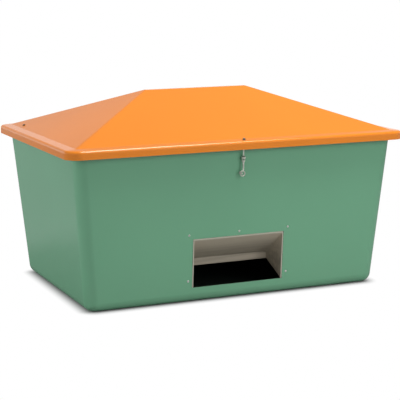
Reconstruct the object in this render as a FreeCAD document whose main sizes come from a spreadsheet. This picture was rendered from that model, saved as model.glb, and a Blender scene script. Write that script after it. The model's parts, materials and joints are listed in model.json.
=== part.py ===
"""Grit salt bin: a leaning-walled tub, a hipped lid, a dispensing hood and their fittings.

Millimetres. The origin is the middle of the base on the ground, +Z is up, the front is -Y
and the lid turns on two hinges along the rear. Every driving dimension is a cell of the
sheet "Sizes", and the pieces are bound to those cells by expressions.
"""
import FreeCAD, Part
import Sketcher
import math
import os

os.makedirs("parts", exist_ok=True)
doc = FreeCAD.newDocument("GritBin")

# Driving dimensions, in millimetres and degrees
DIMENSIONS = {
    # Tub
    "base_length": 1608,
    "base_width": 1040,
    "wall_lean": 4.855,
    "tub_corner_radius": 60,
    "base_edge_radius": 50,
    "tub_wall": 6,
    "rim_top": 808,
    "rim_thickness": 6,
    "rim_width": 32,
    # Lid
    "lid_overhang": 15.37,
    "lid_corner_radius": 70,
    "lid_wall": 5,
    "skirt_below_rim": 31,
    "skirt_height": 42,
    "skirt_edge_radius": 14,
    "border_width": 58,
    "border_rise": 5,
    "border_corner_radius": 14,
    "roof_rise": 210,
    "ridge_length": 582,
    "ridge_flat": 20,
    "ridge_corner_radius": 9,
    # Opening in the front wall, measured up the wall
    "opening_width": 506,
    "opening_height": 254,
    "opening_sill": 77,
    "opening_corner_radius": 4,
    # Dispensing hood
    "hood_gap": 2,
    "hood_wall": 5,
    "hood_reach": 155,
    "hood_lip_bottom": 156,
    "hood_lip_height": 39,
    "hood_taper": 6,
    "hood_mouth_radius": 12,
    "hood_corner_radius": 22,
    "hood_flange_width": 40,
    "hood_flange_corner": 30,
    "hood_screw_margin": 21.5,
    "hood_low_screw_rise": 36,
    # Hinges
    "hinge_spacing": 1120,
    "hinge_width": 110,
    "hinge_below_skirt": 9,
    "knuckle_radius": 7.5,
    "lid_knuckle_length": 50,
    "knuckle_gap": 0.5,
    "knuckle_room": 1.5,
    "neck_overlap": 8,
    "hinge_pin_radius": 4,
    "hinge_pin_head_radius": 6,
    "hinge_pin_head_height": 2,
    "leaf_thickness": 3,
    "leaf_rise": 26,
    "leaf_bolt_rise": 13,
    "leaf_bolt_pitch": 38,
    "bracket_thickness": 4,
    "bracket_drop": 116,
    "bracket_bolt_pitch": 60,
    "bracket_bolt_margin": 20,
    "bracket_bolt_rise": 50,
    "gusset_drop": 78,
    "gusset_thickness": 5,
    # Catch at the front
    "catch_inset": 28,
    "eye_drop": 89,
    "eye_radius": 11,
    "eye_thickness": 9,
    "eye_top": 11,
    "catch_pin_radius": 4,
    "catch_pin_head_radius": 6.5,
    "catch_pin_head_height": 2.5,
    "fork_gap": 0.4,
    "fork_lug_thickness": 4,
    "fork_lug_radius": 8,
    "fork_depth": 22,
    "fork_root": 9,
    "link_thickness": 6,
    "link_shank_width": 8,
    "link_length": 80,
    "link_ring_offset": 5,
    "link_ring_outer": 15.5,
    "link_ring_inner": 9.5,
    "notch_width": 48,
    "notch_corner_radius": 3,
    "stud_radius": 5,
    "stud_length": 20,
    "stud_collar_radius": 8,
    "stud_collar_height": 2.5,
    "stud_hole_radius": 2.5,
    "stud_hole_margin": 4.5,
    # Lid prop at the left
    "prop_bolt_inset": 82,
    "prop_rear_inset": 240,
    "prop_bracket_width": 30,
    "prop_bracket_thickness": 3,
    "prop_bracket_reach": 14,
    "prop_ear_offset": 29,
    "prop_pivot_rise": 15,
    "prop_ear_margin": 11,
    "prop_pin_radius": 4,
    "prop_pin_head_radius": 7,
    "prop_pin_head_height": 2.5,
    "prop_rod_radius": 5,
    "prop_eye_radius": 12,
    "prop_eye_thickness": 11,
    "prop_bend_radius": 10,
    "prop_foot_length": 28.5,
    "prop_length": 353.4,
    "prop_side_gap": 0.4,
    "rest_lip_offset": 18.9,
    "rest_thickness": 3,
    "rest_width": 50,
    "rest_rear_inset": 336,
    "rest_seat_below_rim": 13,
    "rest_lip_below_rim": 5,
    "rest_shelf_below_rim": 30,
    "rest_leaf_below_rim": 82,
    "rest_notch_clearance": 0.5,
    # Rubber buffers on the rim
    "buffer_radius": 10,
    "buffer_stem_radius": 3,
    "buffer_foot_radius": 4.5,
    "buffer_foot_height": 3,
    "buffer_gap": 0.4,
    "front_buffer_spacing": 800,
    "rear_buffer_spacing": 500,
    # Fasteners
    "small_thread_radius": 3,
    "small_head_radius": 6,
    "small_head_height": 3.6,
    "small_nut_flats": 10,
    "small_nut_height": 5,
    "small_washer_radius": 8,
    "large_thread_radius": 4,
    "large_nut_flats": 13,
    "large_head_height": 5.3,
    "large_nut_height": 6.5,
    "large_washer_radius": 10,
    "washer_thickness": 1.6,
    "thread_past_nut": 2.5,
    "hole_clearance": 0.3,
    "running_clearance": 0.05,
}

sheet = doc.addObject("Spreadsheet::Sheet", "Sizes")
for row, (alias, number) in enumerate(DIMENSIONS.items(), start=1):
    sheet.set(f"A{row}", alias)
    sheet.set(f"B{row}", str(number))
    sheet.setAlias(f"B{row}", alias)
doc.recompute()


def value(alias):
    """Read one driving dimension back from the sheet."""
    return float(sheet.get(alias))


# Expressions that several pieces share
LEAN = "tan(Sizes.wall_lean)"
SLANT_WALL = "(Sizes.tub_wall / cos(Sizes.wall_lean))"
RIM_REACH = f"(Sizes.rim_top * {LEAN} + Sizes.rim_width)"
LID_LENGTH = f"(Sizes.base_length + 2 * ({RIM_REACH} + Sizes.lid_overhang))"
LID_WIDTH = f"(Sizes.base_width + 2 * ({RIM_REACH} + Sizes.lid_overhang))"
SKIRT_LOW = "(Sizes.rim_top - Sizes.skirt_below_rim)"
SKIRT_TOP = f"({SKIRT_LOW} + Sizes.skirt_height)"
BORDER_TOP = f"({SKIRT_TOP} + Sizes.border_rise)"
BORDER_LENGTH = f"({LID_LENGTH} - 2 * Sizes.border_width)"
BORDER_DEPTH = f"({LID_WIDTH} - 2 * Sizes.border_width)"
HINGE_Y = f"({LID_WIDTH} / 2 + Sizes.knuckle_radius)"
HINGE_Z = f"({SKIRT_LOW} - Sizes.hinge_below_skirt)"
BRACKET_LOW = f"({HINGE_Z} - Sizes.bracket_drop)"
PIVOT_Z = f"({SKIRT_LOW} + Sizes.prop_pivot_rise)"

# Places that a hole and the piece in it share
SIDES = (-1, 1)
BORDER_SLOPE = "atan(Sizes.border_rise / Sizes.border_width)"
CATCH_Y = f"(Sizes.catch_inset - {LID_WIDTH} / 2)"
CATCH_Z = f"({SKIRT_TOP} + Sizes.catch_inset * Sizes.border_rise / Sizes.border_width)"
SCREW_ACROSS = "(Sizes.opening_width / 2 + Sizes.hood_screw_margin)"
SCREW_HIGH = "(Sizes.opening_sill + Sizes.opening_height + Sizes.hood_screw_margin)"
SCREW_LOW = "(Sizes.opening_sill + Sizes.hood_low_screw_rise)"
HOOD_SCREWS = [
    (f"-{SCREW_ACROSS}", SCREW_HIGH),
    ("0", SCREW_HIGH),
    (SCREW_ACROSS, SCREW_HIGH),
    (SCREW_ACROSS, SCREW_LOW),
    (f"-{SCREW_ACROSS}", SCREW_LOW),
]
PIN_Y = f"({CATCH_Y} + Sizes.eye_drop * sin({BORDER_SLOPE}))"
PIN_Z = f"({CATCH_Z} - Sizes.eye_drop * cos({BORDER_SLOPE}))"
STUD_UP = f"(({PIN_Z} - Sizes.link_length) / cos(Sizes.wall_lean) + Sizes.stud_length * {LEAN} / 2)"
BRACKET_BOLTS = [
    (
        f"({across} * Sizes.bracket_bolt_pitch / 2)",
        f"({BRACKET_LOW} + Sizes.bracket_bolt_margin + {rise} * Sizes.bracket_bolt_rise)",
    )
    for across in (-1, 1)
    for rise in (0, 1)
]
LEAF_BOLTS = [
    (f"({step} * Sizes.leaf_bolt_pitch)", f"({SKIRT_LOW} + Sizes.leaf_bolt_rise)")
    for step in (-1, 0, 1)
]
REST_Y = f"({LID_WIDTH} / 2 - Sizes.rest_rear_inset)"
ROOF_RISE = f"(Sizes.roof_rise / ({BORDER_LENGTH} / 2 - Sizes.ridge_length / 2))"
ROOF_SLOPE = f"atan({ROOF_RISE})"
PROP_Y = f"({LID_WIDTH} / 2 - Sizes.prop_rear_inset)"
PROP_BOLT_X = f"(Sizes.prop_bolt_inset - {LID_LENGTH} / 2)"
EAR_X = f"({PROP_BOLT_X} + Sizes.prop_ear_offset)"
ROD_X = f"({EAR_X} + Sizes.prop_bracket_thickness + Sizes.prop_side_gap + Sizes.prop_eye_thickness / 2)"
RIM_OUT = f"(Sizes.rim_top * {LEAN} + Sizes.rim_width / 2)"
BUFFERS = [
    ("-Sizes.front_buffer_spacing / 2", f"-(Sizes.base_width / 2 + {RIM_OUT})"),
    ("Sizes.front_buffer_spacing / 2", f"-(Sizes.base_width / 2 + {RIM_OUT})"),
    ("-Sizes.rear_buffer_spacing / 2", f"Sizes.base_width / 2 + {RIM_OUT}"),
    ("Sizes.rear_buffer_spacing / 2", f"Sizes.base_width / 2 + {RIM_OUT}"),
    (f"-(Sizes.base_length / 2 + {RIM_OUT})", "0"),
    (f"Sizes.base_length / 2 + {RIM_OUT}", "0"),
]

X_AXIS = FreeCAD.Vector(1, 0, 0)
Y_AXIS = FreeCAD.Vector(0, 1, 0)
Z_AXIS = FreeCAD.Vector(0, 0, 1)


def new_body(name):
    """Start a sub-part as a body of its own."""
    body = doc.addObject("PartDesign::Body", name)
    body.Label = name
    return body


def flat_sketch(body, name, plane, offset="0", tilt=None):
    """Attach a sketch to a plane of the body, moved along its normal and tilted about its x axis."""
    sketch = body.newObject("Sketcher::SketchObject", name)
    support = next(item for item in body.Origin.OriginFeatures if item.Role == plane)
    sketch.AttachmentSupport = [(support, "")]
    sketch.MapMode = "FlatFace"
    sketch.setExpression("AttachmentOffset.Base.z", offset)
    if tilt:
        sketch.AttachmentOffset = FreeCAD.Placement(FreeCAD.Vector(), FreeCAD.Rotation(X_AXIS, 5))
        sketch.setExpression("AttachmentOffset.Rotation.Angle", tilt)
    return sketch


def bind_point(sketch, name, geometry, point, across, up):
    """Hold one point of the sketch at two expressions measured from its origin."""
    sketch.addConstraint(Sketcher.Constraint("DistanceX", -1, 1, geometry, point, 10.0))
    sketch.renameConstraint(sketch.ConstraintCount - 1, name + "_across")
    sketch.addConstraint(Sketcher.Constraint("DistanceY", -1, 1, geometry, point, 10.0))
    sketch.renameConstraint(sketch.ConstraintCount - 1, name + "_up")
    sketch.setExpression(f"Constraints.{name}_across", across)
    sketch.setExpression(f"Constraints.{name}_up", up)


def bind_size(sketch, name, constraint, size):
    """Add one dimension to the sketch and bind it to an expression."""
    sketch.addConstraint(constraint)
    sketch.renameConstraint(sketch.ConstraintCount - 1, name)
    sketch.setExpression(f"Constraints.{name}", size)


def outline(sketch, corners):
    """Draw a closed polygon whose corners are pairs of expressions."""
    count = len(corners)
    for index in range(count):
        turns = [2 * math.pi * (index + step) / count for step in (0, 1)]
        ends = [FreeCAD.Vector(50 * math.cos(turn), 50 * math.sin(turn), 0) for turn in turns]
        sketch.addGeometry(Part.LineSegment(*ends))
    for index, (across, up) in enumerate(corners):
        following = (index + 1) % count
        sketch.addConstraint(Sketcher.Constraint("Coincident", index, 2, following, 1))
        bind_point(sketch, f"corner{index}", index, 1, across, up)


def rounded_box(sketch, width, low, high, radius, square_base=False):
    """Draw a box centred across, with all its corners rounded or only the upper two."""
    half, r = 100.0, 10.0
    inner = half - r
    chain = [Part.LineSegment(FreeCAD.Vector(-inner, -half, 0), FreeCAD.Vector(inner, -half, 0))]
    sides = [
        ((inner, -inner), -90, (half, -inner), (half, inner)),
        ((inner, inner), 0, (inner, half), (-inner, half)),
        ((-inner, inner), 90, (-half, inner), (-half, -inner)),
        ((-inner, -inner), 180, None, None),
    ]
    for centre, start, first, last in sides:
        if not (square_base and start in (-90, 180)):
            circle = Part.Circle(FreeCAD.Vector(*centre, 0), Z_AXIS, r)
            chain.append(Part.ArcOfCircle(circle, math.radians(start), math.radians(start + 90)))
        if first:
            chain.append(Part.LineSegment(FreeCAD.Vector(*first, 0), FreeCAD.Vector(*last, 0)))
    sketch.addGeometry(chain)
    arcs = [index for index, piece in enumerate(chain) if isinstance(piece, Part.ArcOfCircle)]
    bottom, right, top, left = [index for index in range(len(chain)) if index not in arcs]
    for index in range(len(chain)):
        following = (index + 1) % len(chain)
        joint = "Tangent" if index in arcs or following in arcs else "Coincident"
        sketch.addConstraint(Sketcher.Constraint(joint, index, 2, following, 1))
    for line in (bottom, top):
        sketch.addConstraint(Sketcher.Constraint("Horizontal", line))
    for line in (right, left):
        sketch.addConstraint(Sketcher.Constraint("Vertical", line))
    for arc in arcs[1:]:
        sketch.addConstraint(Sketcher.Constraint("Equal", arcs[0], arc))
    bind_size(sketch, "radius", Sketcher.Constraint("Radius", arcs[0], r), radius)
    bind_size(sketch, "right", Sketcher.Constraint("DistanceX", -1, 1, right, 1, half), f"({width}) / 2")
    bind_size(sketch, "left", Sketcher.Constraint("DistanceX", -1, 1, left, 1, -half), f"-({width}) / 2")
    bind_size(sketch, "low", Sketcher.Constraint("DistanceY", -1, 1, bottom, 1, -half), low)
    bind_size(sketch, "high", Sketcher.Constraint("DistanceY", -1, 1, top, 1, half), high)


def centred_box(sketch, length, width, radius):
    """Draw a rounded rectangle centred on the sketch's origin."""
    rounded_box(sketch, length, f"-({width}) / 2", f"({width}) / 2", radius)


def circles(sketch, radius, centres):
    """Draw equal circles at pairs of expressions."""
    for index, (across, up) in enumerate(centres):
        circle = Part.Circle(FreeCAD.Vector(30.0 * index + 5, 5, 0), Z_AXIS, 3)
        number = sketch.addGeometry(circle)
        bind_point(sketch, f"centre{index}", number, 3, across, up)
        bind_size(sketch, f"radius{index}", Sketcher.Constraint("Radius", number, 3), radius)


def pad(body, sketch, length, symmetric=False, back=False):
    """Pad a sketch by an expression, one way or half each way."""
    feature = body.newObject("PartDesign::Pad", "Pad")
    feature.Profile = sketch
    feature.Type = "Length"
    feature.SideType = "Symmetric" if symmetric else "One side"
    feature.Reversed = back
    feature.setExpression("Length", length)
    doc.recompute()
    return feature


def pocket(body, sketch, length, symmetric=False, back=False):
    """Cut a sketch out of the body and make sure that material went."""
    before = body.Shape.Volume
    feature = body.newObject("PartDesign::Pocket", "Pocket")
    feature.Profile = sketch
    feature.Type = "Length"
    feature.SideType = "Symmetric" if symmetric else "One side"
    feature.Reversed = back
    feature.setExpression("Length", length)
    doc.recompute()
    if not body.Shape.Volume < before:
        raise ValueError(f"{body.Label}: {sketch.Label} cuts nothing")
    return feature


def loft(body, sections, cut=False):
    """Join sections, the upper one first, by straight rulings, adding to the body or cutting from it."""
    feature = body.newObject("PartDesign::SubtractiveLoft" if cut else "PartDesign::AdditiveLoft", "Loft")
    feature.Profile = sections[0]
    feature.Sections = list(sections[1:])
    feature.Ruled = True
    doc.recompute()
    return feature


def edges_between(shape, low, high):
    """Name the edges that run from one height to another."""
    names = []
    for number, edge in enumerate(shape.Edges, start=1):
        box = edge.BoundBox
        if abs(box.ZMin - low) < 0.01 and abs(box.ZMax - high) < 0.01:
            names.append(f"Edge{number}")
    return names


def round_edges(body, feature, low, high, radius):
    """Round every edge of the feature that runs between two heights."""
    fillet = body.newObject("PartDesign::Fillet", "Fillet")
    fillet.Base = (feature, edges_between(feature.Shape, low, high))
    fillet.setExpression("Radius", radius)
    doc.recompute()
    return fillet


def frustum(body, low, high, length, width, top_length, top_width, cut=False):
    """Add or cut a block with sloping sides between two heights, centred on the origin."""
    kind = "PartDesign::SubtractiveWedge" if cut else "PartDesign::AdditiveWedge"
    feature = body.newObject(kind, "Frustum")
    support = next(item for item in body.Origin.OriginFeatures if item.Role == "XZ_Plane")
    feature.AttachmentSupport = [(support, "")]
    feature.MapMode = "FlatFace"
    sizes = {
        "Ymin": low, "Ymax": high,
        "Xmin": f"-({length}) / 2", "Xmax": f"({length}) / 2",
        "Zmin": f"-({width}) / 2", "Zmax": f"({width}) / 2",
        "X2min": f"-({top_length}) / 2", "X2max": f"({top_length}) / 2",
        "Z2min": f"-({top_width}) / 2", "Z2max": f"({top_width}) / 2",
    }
    for side, size in sizes.items():
        feature.setExpression(side, size)
    doc.recompute()
    return feature


def wall_sketch(body, name, front, depth="0"):
    """Attach a sketch to the tub's leaning front or rear wall, a depth in from its outer face."""
    out = f"Sizes.base_width / 2 - ({depth}) / cos(Sizes.wall_lean)"
    if front:
        return flat_sketch(body, name, "XZ_Plane", out, tilt="Sizes.wall_lean")
    return flat_sketch(body, name, "XZ_Plane", f"-({out})", tilt="-Sizes.wall_lean")


def at_hinges(bolts):
    """Repeat the bolt places of one hinge at both hinges."""
    return [
        (f"{side} * Sizes.hinge_spacing / 2 + {across}", up)
        for side in SIDES
        for across, up in bolts
    ]


hole_sketches = {}


def drill(body, key, sketch, radius, centres, depth):
    """Cut round holes through the body and remember where they are."""
    circles(sketch, radius, centres)
    hole_sketches[key] = sketch
    return pocket(body, sketch, depth, symmetric=True)


def make_tub():
    """Tub: leaning walls on a rounded base, hollow, with a rim, an opening and a catch notch."""
    body = new_body("bin_tub")
    spread = f"2 * Sizes.rim_top * {LEAN}"
    length = f"(Sizes.base_length + {spread})"
    width = f"(Sizes.base_width + {spread})"
    frustum(body, "0", "Sizes.rim_top", "Sizes.base_length", "Sizes.base_width", length, width)
    rim = flat_sketch(body, "Rim", "XY_Plane", "Sizes.rim_top - Sizes.rim_thickness")
    growth = "2 * Sizes.rim_width"
    corner = "Sizes.tub_corner_radius + Sizes.rim_width"
    centred_box(rim, f"{length} + {growth}", f"{width} + {growth}", corner)
    pad(body, rim, "Sizes.rim_thickness")
    inset = f"(2 * Sizes.tub_wall * {LEAN} - 2 * {SLANT_WALL})"
    cavity = frustum(
        body,
        "Sizes.tub_wall",
        "Sizes.rim_top",
        f"Sizes.base_length + {inset}",
        f"Sizes.base_width + {inset}",
        f"{length} - 2 * {SLANT_WALL}",
        f"{width} - 2 * {SLANT_WALL}",
        cut=True,
    )
    wall, top = value("tub_wall"), value("rim_top")
    underside = top - value("rim_thickness")
    corners = round_edges(body, cavity, wall, top, "Sizes.tub_corner_radius - Sizes.tub_wall")
    corners = round_edges(body, corners, 0, underside, "Sizes.tub_corner_radius")
    inside = round_edges(body, corners, wall, wall, "Sizes.base_edge_radius - Sizes.tub_wall")
    round_edges(body, inside, 0, 0, "Sizes.base_edge_radius")

    opening = wall_sketch(body, "Opening", front=True)
    top = "Sizes.opening_sill + Sizes.opening_height"
    rounded_box(
        opening,
        "Sizes.opening_width",
        "Sizes.opening_sill",
        top,
        "Sizes.opening_corner_radius",
        square_base=True,
    )
    pocket(body, opening, "3 * Sizes.tub_wall", symmetric=True)

    notch = flat_sketch(body, "Notch", "XY_Plane", "Sizes.rim_top")
    edge = f"-({width} / 2)"
    beyond = f"{edge} - 2 * Sizes.rim_width"
    rounded_box(notch, "Sizes.notch_width", beyond, edge, "Sizes.notch_corner_radius")
    pocket(body, notch, "3 * Sizes.rim_thickness", symmetric=True)

    small = "Sizes.small_thread_radius + Sizes.hole_clearance"
    large = "Sizes.large_thread_radius + Sizes.hole_clearance"
    depth = "6 * Sizes.tub_wall"
    drill(body, "hood", wall_sketch(body, "HoodHoles", front=True), small, HOOD_SCREWS, depth)
    stud_place = ("-Sizes.link_ring_offset", STUD_UP)
    drill(body, "stud", wall_sketch(body, "StudHole", front=True), large, [stud_place], depth)
    bracket_holes = wall_sketch(body, "BracketHoles", front=False)
    drill(body, "bracket", bracket_holes, large, at_hinges(BRACKET_BOLTS), depth)
    stems = flat_sketch(body, "BufferHoles", "XY_Plane", "Sizes.rim_top")
    drill(body, "buffer", stems, "Sizes.buffer_stem_radius + Sizes.hole_clearance", BUFFERS, depth)


def make_lid():
    """Lid: skirt, nearly flat border and hipped roof, the inside a copy of the outside one wall lower."""
    body = new_body("lid_shell")
    for name, wall in (("Outer", "0"), ("Inner", "Sizes.lid_wall")):
        cut = name == "Inner"
        length = f"({LID_LENGTH} - 2 * {wall})"
        width = f"({LID_WIDTH} - 2 * {wall})"
        corner = f"Sizes.lid_corner_radius - {wall}"
        height = f"Sizes.skirt_height - {wall} * (1 - Sizes.border_rise / Sizes.border_width)"
        skirt = flat_sketch(body, name + "Skirt", "XY_Plane", SKIRT_LOW)
        centred_box(skirt, length, width, corner)
        edge = flat_sketch(body, name + "Edge", "XY_Plane", f"{SKIRT_LOW} + {height}")
        centred_box(edge, length, width, corner)
        crease = flat_sketch(body, name + "Crease", "XY_Plane", f"{BORDER_TOP} - {wall}")
        centred_box(crease, BORDER_LENGTH, BORDER_DEPTH, "Sizes.border_corner_radius")
        ridge = flat_sketch(body, name + "Ridge", "XY_Plane", f"{BORDER_TOP} + Sizes.roof_rise - {wall}")
        centred_box(ridge, "Sizes.ridge_length", "Sizes.ridge_flat", "Sizes.ridge_corner_radius")
        if cut:
            pocket(body, skirt, height, back=True)
        else:
            pad(body, skirt, height)
        loft(body, [crease, edge], cut)
        slopes = loft(body, [ridge, crease], cut)
        level = slopes.Shape.BoundBox.ZMin + edge.Placement.Base.z - skirt.Placement.Base.z
        round_edges(body, slopes, level, level, f"Sizes.skirt_edge_radius - {wall}")

    large = "Sizes.large_thread_radius + Sizes.hole_clearance"
    depth = "6 * Sizes.lid_wall"
    eye_hole = placed_sketch(body, "EyeHole", ("0", CATCH_Y, CATCH_Z), X_AXIS, BORDER_SLOPE)
    drill(body, "eye", eye_hole, large, [("0", "0")], depth)
    prop_bolt = (PROP_BOLT_X, PROP_Y, roof_height(PROP_BOLT_X))
    prop_hole = placed_sketch(body, "PropHole", prop_bolt, Y_AXIS, f"-{ROOF_SLOPE}")
    drill(body, "prop", prop_hole, large, [("0", "0")], depth)
    leaf_holes = flat_sketch(body, "LeafHoles", "XZ_Plane", f"-{LID_WIDTH} / 2")
    small = "Sizes.small_thread_radius + Sizes.hole_clearance"
    drill(body, "leaf", leaf_holes, small, at_hinges(LEAF_BOLTS), depth)


def roof_height(across):
    """Give the height of the left slope's outer face at one place, as an expression."""
    return f"({BORDER_TOP} + ({across} + {BORDER_LENGTH} / 2) * {ROOF_RISE})"


def placed_sketch(body, name, position, axis, angle):
    """Attach a sketch to the level plane, moved to a point and turned about one axis."""
    sketch = flat_sketch(body, name, "XY_Plane", position[2])
    sketch.AttachmentOffset = FreeCAD.Placement(FreeCAD.Vector(), FreeCAD.Rotation(axis, 5))
    sketch.setExpression("AttachmentOffset.Base.x", position[0])
    sketch.setExpression("AttachmentOffset.Base.y", position[1])
    sketch.setExpression("AttachmentOffset.Rotation.Angle", angle)
    return sketch


def place_body(body, position, axis=None, angle=None):
    """Bind the body's place, and its turn about one axis, to expressions."""
    if axis:
        body.Placement = FreeCAD.Placement(FreeCAD.Vector(), FreeCAD.Rotation(axis, 5))
        body.setExpression("Placement.Rotation.Angle", angle)
    for letter, size in zip("xyz", position):
        body.setExpression(f"Placement.Base.{letter}", size)


def make_hood():
    """Hood: a tapered chute behind the opening, open below, with a lip and a bolted flange."""
    body = new_body("dispensing_hood")
    flange = wall_sketch(body, "Flange", front=True, depth="Sizes.tub_wall")
    reach = "Sizes.hood_flange_width"
    top = f"Sizes.opening_sill + Sizes.opening_height + {reach}"
    rounded_box(
        flange,
        f"Sizes.opening_width + 2 * {reach}",
        "Sizes.opening_sill + Sizes.hood_gap",
        top,
        "Sizes.hood_flange_corner",
        square_base=True,
    )
    pad(body, flange, "Sizes.hood_wall", back=True)
    lip_y = "(Sizes.base_width / 2 - Sizes.hood_reach)"
    lip_top = "Sizes.hood_lip_bottom + Sizes.hood_lip_height"
    for name, wall, drop in (("Outer", "0", "0"), ("Inner", "Sizes.hood_wall", "Sizes.opening_sill / 2")):
        cut = name == "Inner"
        gap = f"(Sizes.hood_gap + {wall})"
        mouth = wall_sketch(body, name + "Mouth", front=True)
        rounded_box(
            mouth,
            f"Sizes.opening_width - 2 * {gap}",
            f"Sizes.opening_sill + Sizes.hood_gap - {drop}",
            f"Sizes.opening_sill + Sizes.opening_height - {gap}",
            f"Sizes.hood_mouth_radius - {wall}",
            square_base=True,
        )
        lip = flat_sketch(body, name + "Lip", "XZ_Plane", f"{lip_y} + {wall}")
        rounded_box(
            lip,
            f"Sizes.opening_width - 2 * {gap} - 2 * Sizes.hood_taper",
            f"Sizes.hood_lip_bottom - {drop}",
            f"{lip_top} - {wall}",
            f"Sizes.hood_corner_radius - {wall}",
            square_base=True,
        )
        loft(body, [lip, mouth], cut)
    holes = wall_sketch(body, "Holes", front=True)
    circles(holes, "Sizes.small_thread_radius + Sizes.hole_clearance", HOOD_SCREWS)
    pocket(body, holes, "8 * Sizes.hood_wall", symmetric=True)


def make_hinge(name, side):
    """One rear hinge: a cranked bracket on the tub and a leaf on the lid, with knuckles on one axis."""
    place = f"{side} * Sizes.hinge_spacing / 2"
    knuckle = "Sizes.knuckle_radius"
    bore = "Sizes.hinge_pin_radius + Sizes.running_clearance"
    leaf_y = f"({LID_WIDTH} / 2)"

    bracket = new_body(f"hinge_bracket_{name}")
    shelf_low = f"({HINGE_Z} - {knuckle})"
    shelf_top = f"({shelf_low} + Sizes.bracket_thickness)"
    plate = "(Sizes.bracket_thickness / cos(Sizes.wall_lean))"
    crank = flat_sketch(bracket, "Crank", "YZ_Plane")
    outline(
        crank,
        [
            (rear_wall(BRACKET_LOW), BRACKET_LOW),
            (f"{rear_wall(BRACKET_LOW)} + {plate}", BRACKET_LOW),
            (f"{rear_wall(shelf_low)} + {plate}", shelf_low),
            (HINGE_Y, shelf_low),
            (HINGE_Y, shelf_top),
            (rear_wall(shelf_top), shelf_top),
        ],
    )
    pad(bracket, crank, "Sizes.hinge_width", symmetric=True)
    barrel = flat_sketch(bracket, "Barrel", "YZ_Plane")
    circles(barrel, knuckle, [(HINGE_Y, HINGE_Z)])
    pad(bracket, barrel, "Sizes.hinge_width", symmetric=True)
    room = flat_sketch(bracket, "Room", "YZ_Plane")
    reach = f"({knuckle} + Sizes.knuckle_room)"
    rectangle(
        room,
        f"{HINGE_Y} - {reach}",
        f"{HINGE_Y} + {reach}",
        f"{HINGE_Z} - {reach}",
        f"{HINGE_Z} + {reach}",
    )
    pocket(bracket, room, "Sizes.lid_knuckle_length + 2 * Sizes.knuckle_gap", symmetric=True)
    gusset = flat_sketch(bracket, "Gusset", "YZ_Plane")
    gusset_low = f"({HINGE_Z} - Sizes.gusset_drop)"
    outline(
        gusset,
        [
            (f"{rear_wall(gusset_low)} + {plate} / 2", gusset_low),
            (f"{HINGE_Y} - 2 * {knuckle}", f"{shelf_low} + Sizes.bracket_thickness / 2"),
            (f"{rear_wall(shelf_low)} + {plate} / 2", f"{shelf_low} + Sizes.bracket_thickness / 2"),
        ],
    )
    pad(bracket, gusset, "Sizes.gusset_thickness", symmetric=True)
    pin_hole = flat_sketch(bracket, "PinHole", "YZ_Plane")
    circles(pin_hole, bore, [(HINGE_Y, HINGE_Z)])
    pocket(bracket, pin_hole, "2 * Sizes.hinge_width", symmetric=True)
    holes = wall_sketch(bracket, "Holes", front=False)
    circles(holes, "Sizes.large_thread_radius + Sizes.hole_clearance", BRACKET_BOLTS)
    pocket(bracket, holes, "8 * Sizes.bracket_thickness", symmetric=True)
    bracket.setExpression("Placement.Base.x", place)

    leaf = new_body(f"hinge_leaf_{name}")
    strip = flat_sketch(leaf, "Strip", "XZ_Plane", f"-{leaf_y}")
    leaf_top = f"{SKIRT_LOW} + Sizes.leaf_rise"
    rounded_box(strip, "Sizes.hinge_width", SKIRT_LOW, leaf_top, "Sizes.leaf_thickness")
    pad(leaf, strip, "Sizes.leaf_thickness", back=True)
    neck = flat_sketch(leaf, "Neck", "XZ_Plane", f"-{leaf_y}")
    neck_top = f"{SKIRT_LOW} + Sizes.neck_overlap"
    neck_corner = "Sizes.leaf_thickness / 3"
    rounded_box(neck, "Sizes.lid_knuckle_length", HINGE_Z, neck_top, neck_corner)
    pad(leaf, neck, "Sizes.leaf_thickness", back=True)
    roll = flat_sketch(leaf, "Roll", "YZ_Plane")
    circles(roll, knuckle, [(HINGE_Y, HINGE_Z)])
    pad(leaf, roll, "Sizes.lid_knuckle_length", symmetric=True)
    leaf_bore = flat_sketch(leaf, "Bore", "YZ_Plane")
    circles(leaf_bore, bore, [(HINGE_Y, HINGE_Z)])
    pocket(leaf, leaf_bore, "2 * Sizes.lid_knuckle_length", symmetric=True)
    leaf_holes = flat_sketch(leaf, "Holes", "XZ_Plane", f"-{leaf_y}")
    circles(leaf_holes, "Sizes.small_thread_radius + Sizes.hole_clearance", LEAF_BOLTS)
    pocket(leaf, leaf_holes, "4 * Sizes.leaf_thickness", symmetric=True)
    leaf.setExpression("Placement.Base.x", place)

    pin = new_body(f"hinge_pin_{name}")
    shank = flat_sketch(pin, "Shank", "YZ_Plane")
    circles(shank, "Sizes.hinge_pin_radius", [(HINGE_Y, HINGE_Z)])
    pad(pin, shank, "Sizes.hinge_width + 2 * Sizes.hinge_pin_head_height", symmetric=True)
    for end in (-1, 1):
        head = flat_sketch(pin, "Head", "YZ_Plane", f"{end} * Sizes.hinge_width / 2")
        circles(head, "Sizes.hinge_pin_head_radius", [(HINGE_Y, HINGE_Z)])
        pad(pin, head, "Sizes.hinge_pin_head_height", back=end < 0)
    pin.setExpression("Placement.Base.x", place)


def rear_wall(height):
    """Give the rear wall's outer face at one height, as an expression."""
    return f"(Sizes.base_width / 2 + {height} * {LEAN})"


def rectangle(sketch, left, right, low, high):
    """Draw an upright rectangle between expressions."""
    outline(sketch, [(left, low), (right, low), (right, high), (left, high)])


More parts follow.
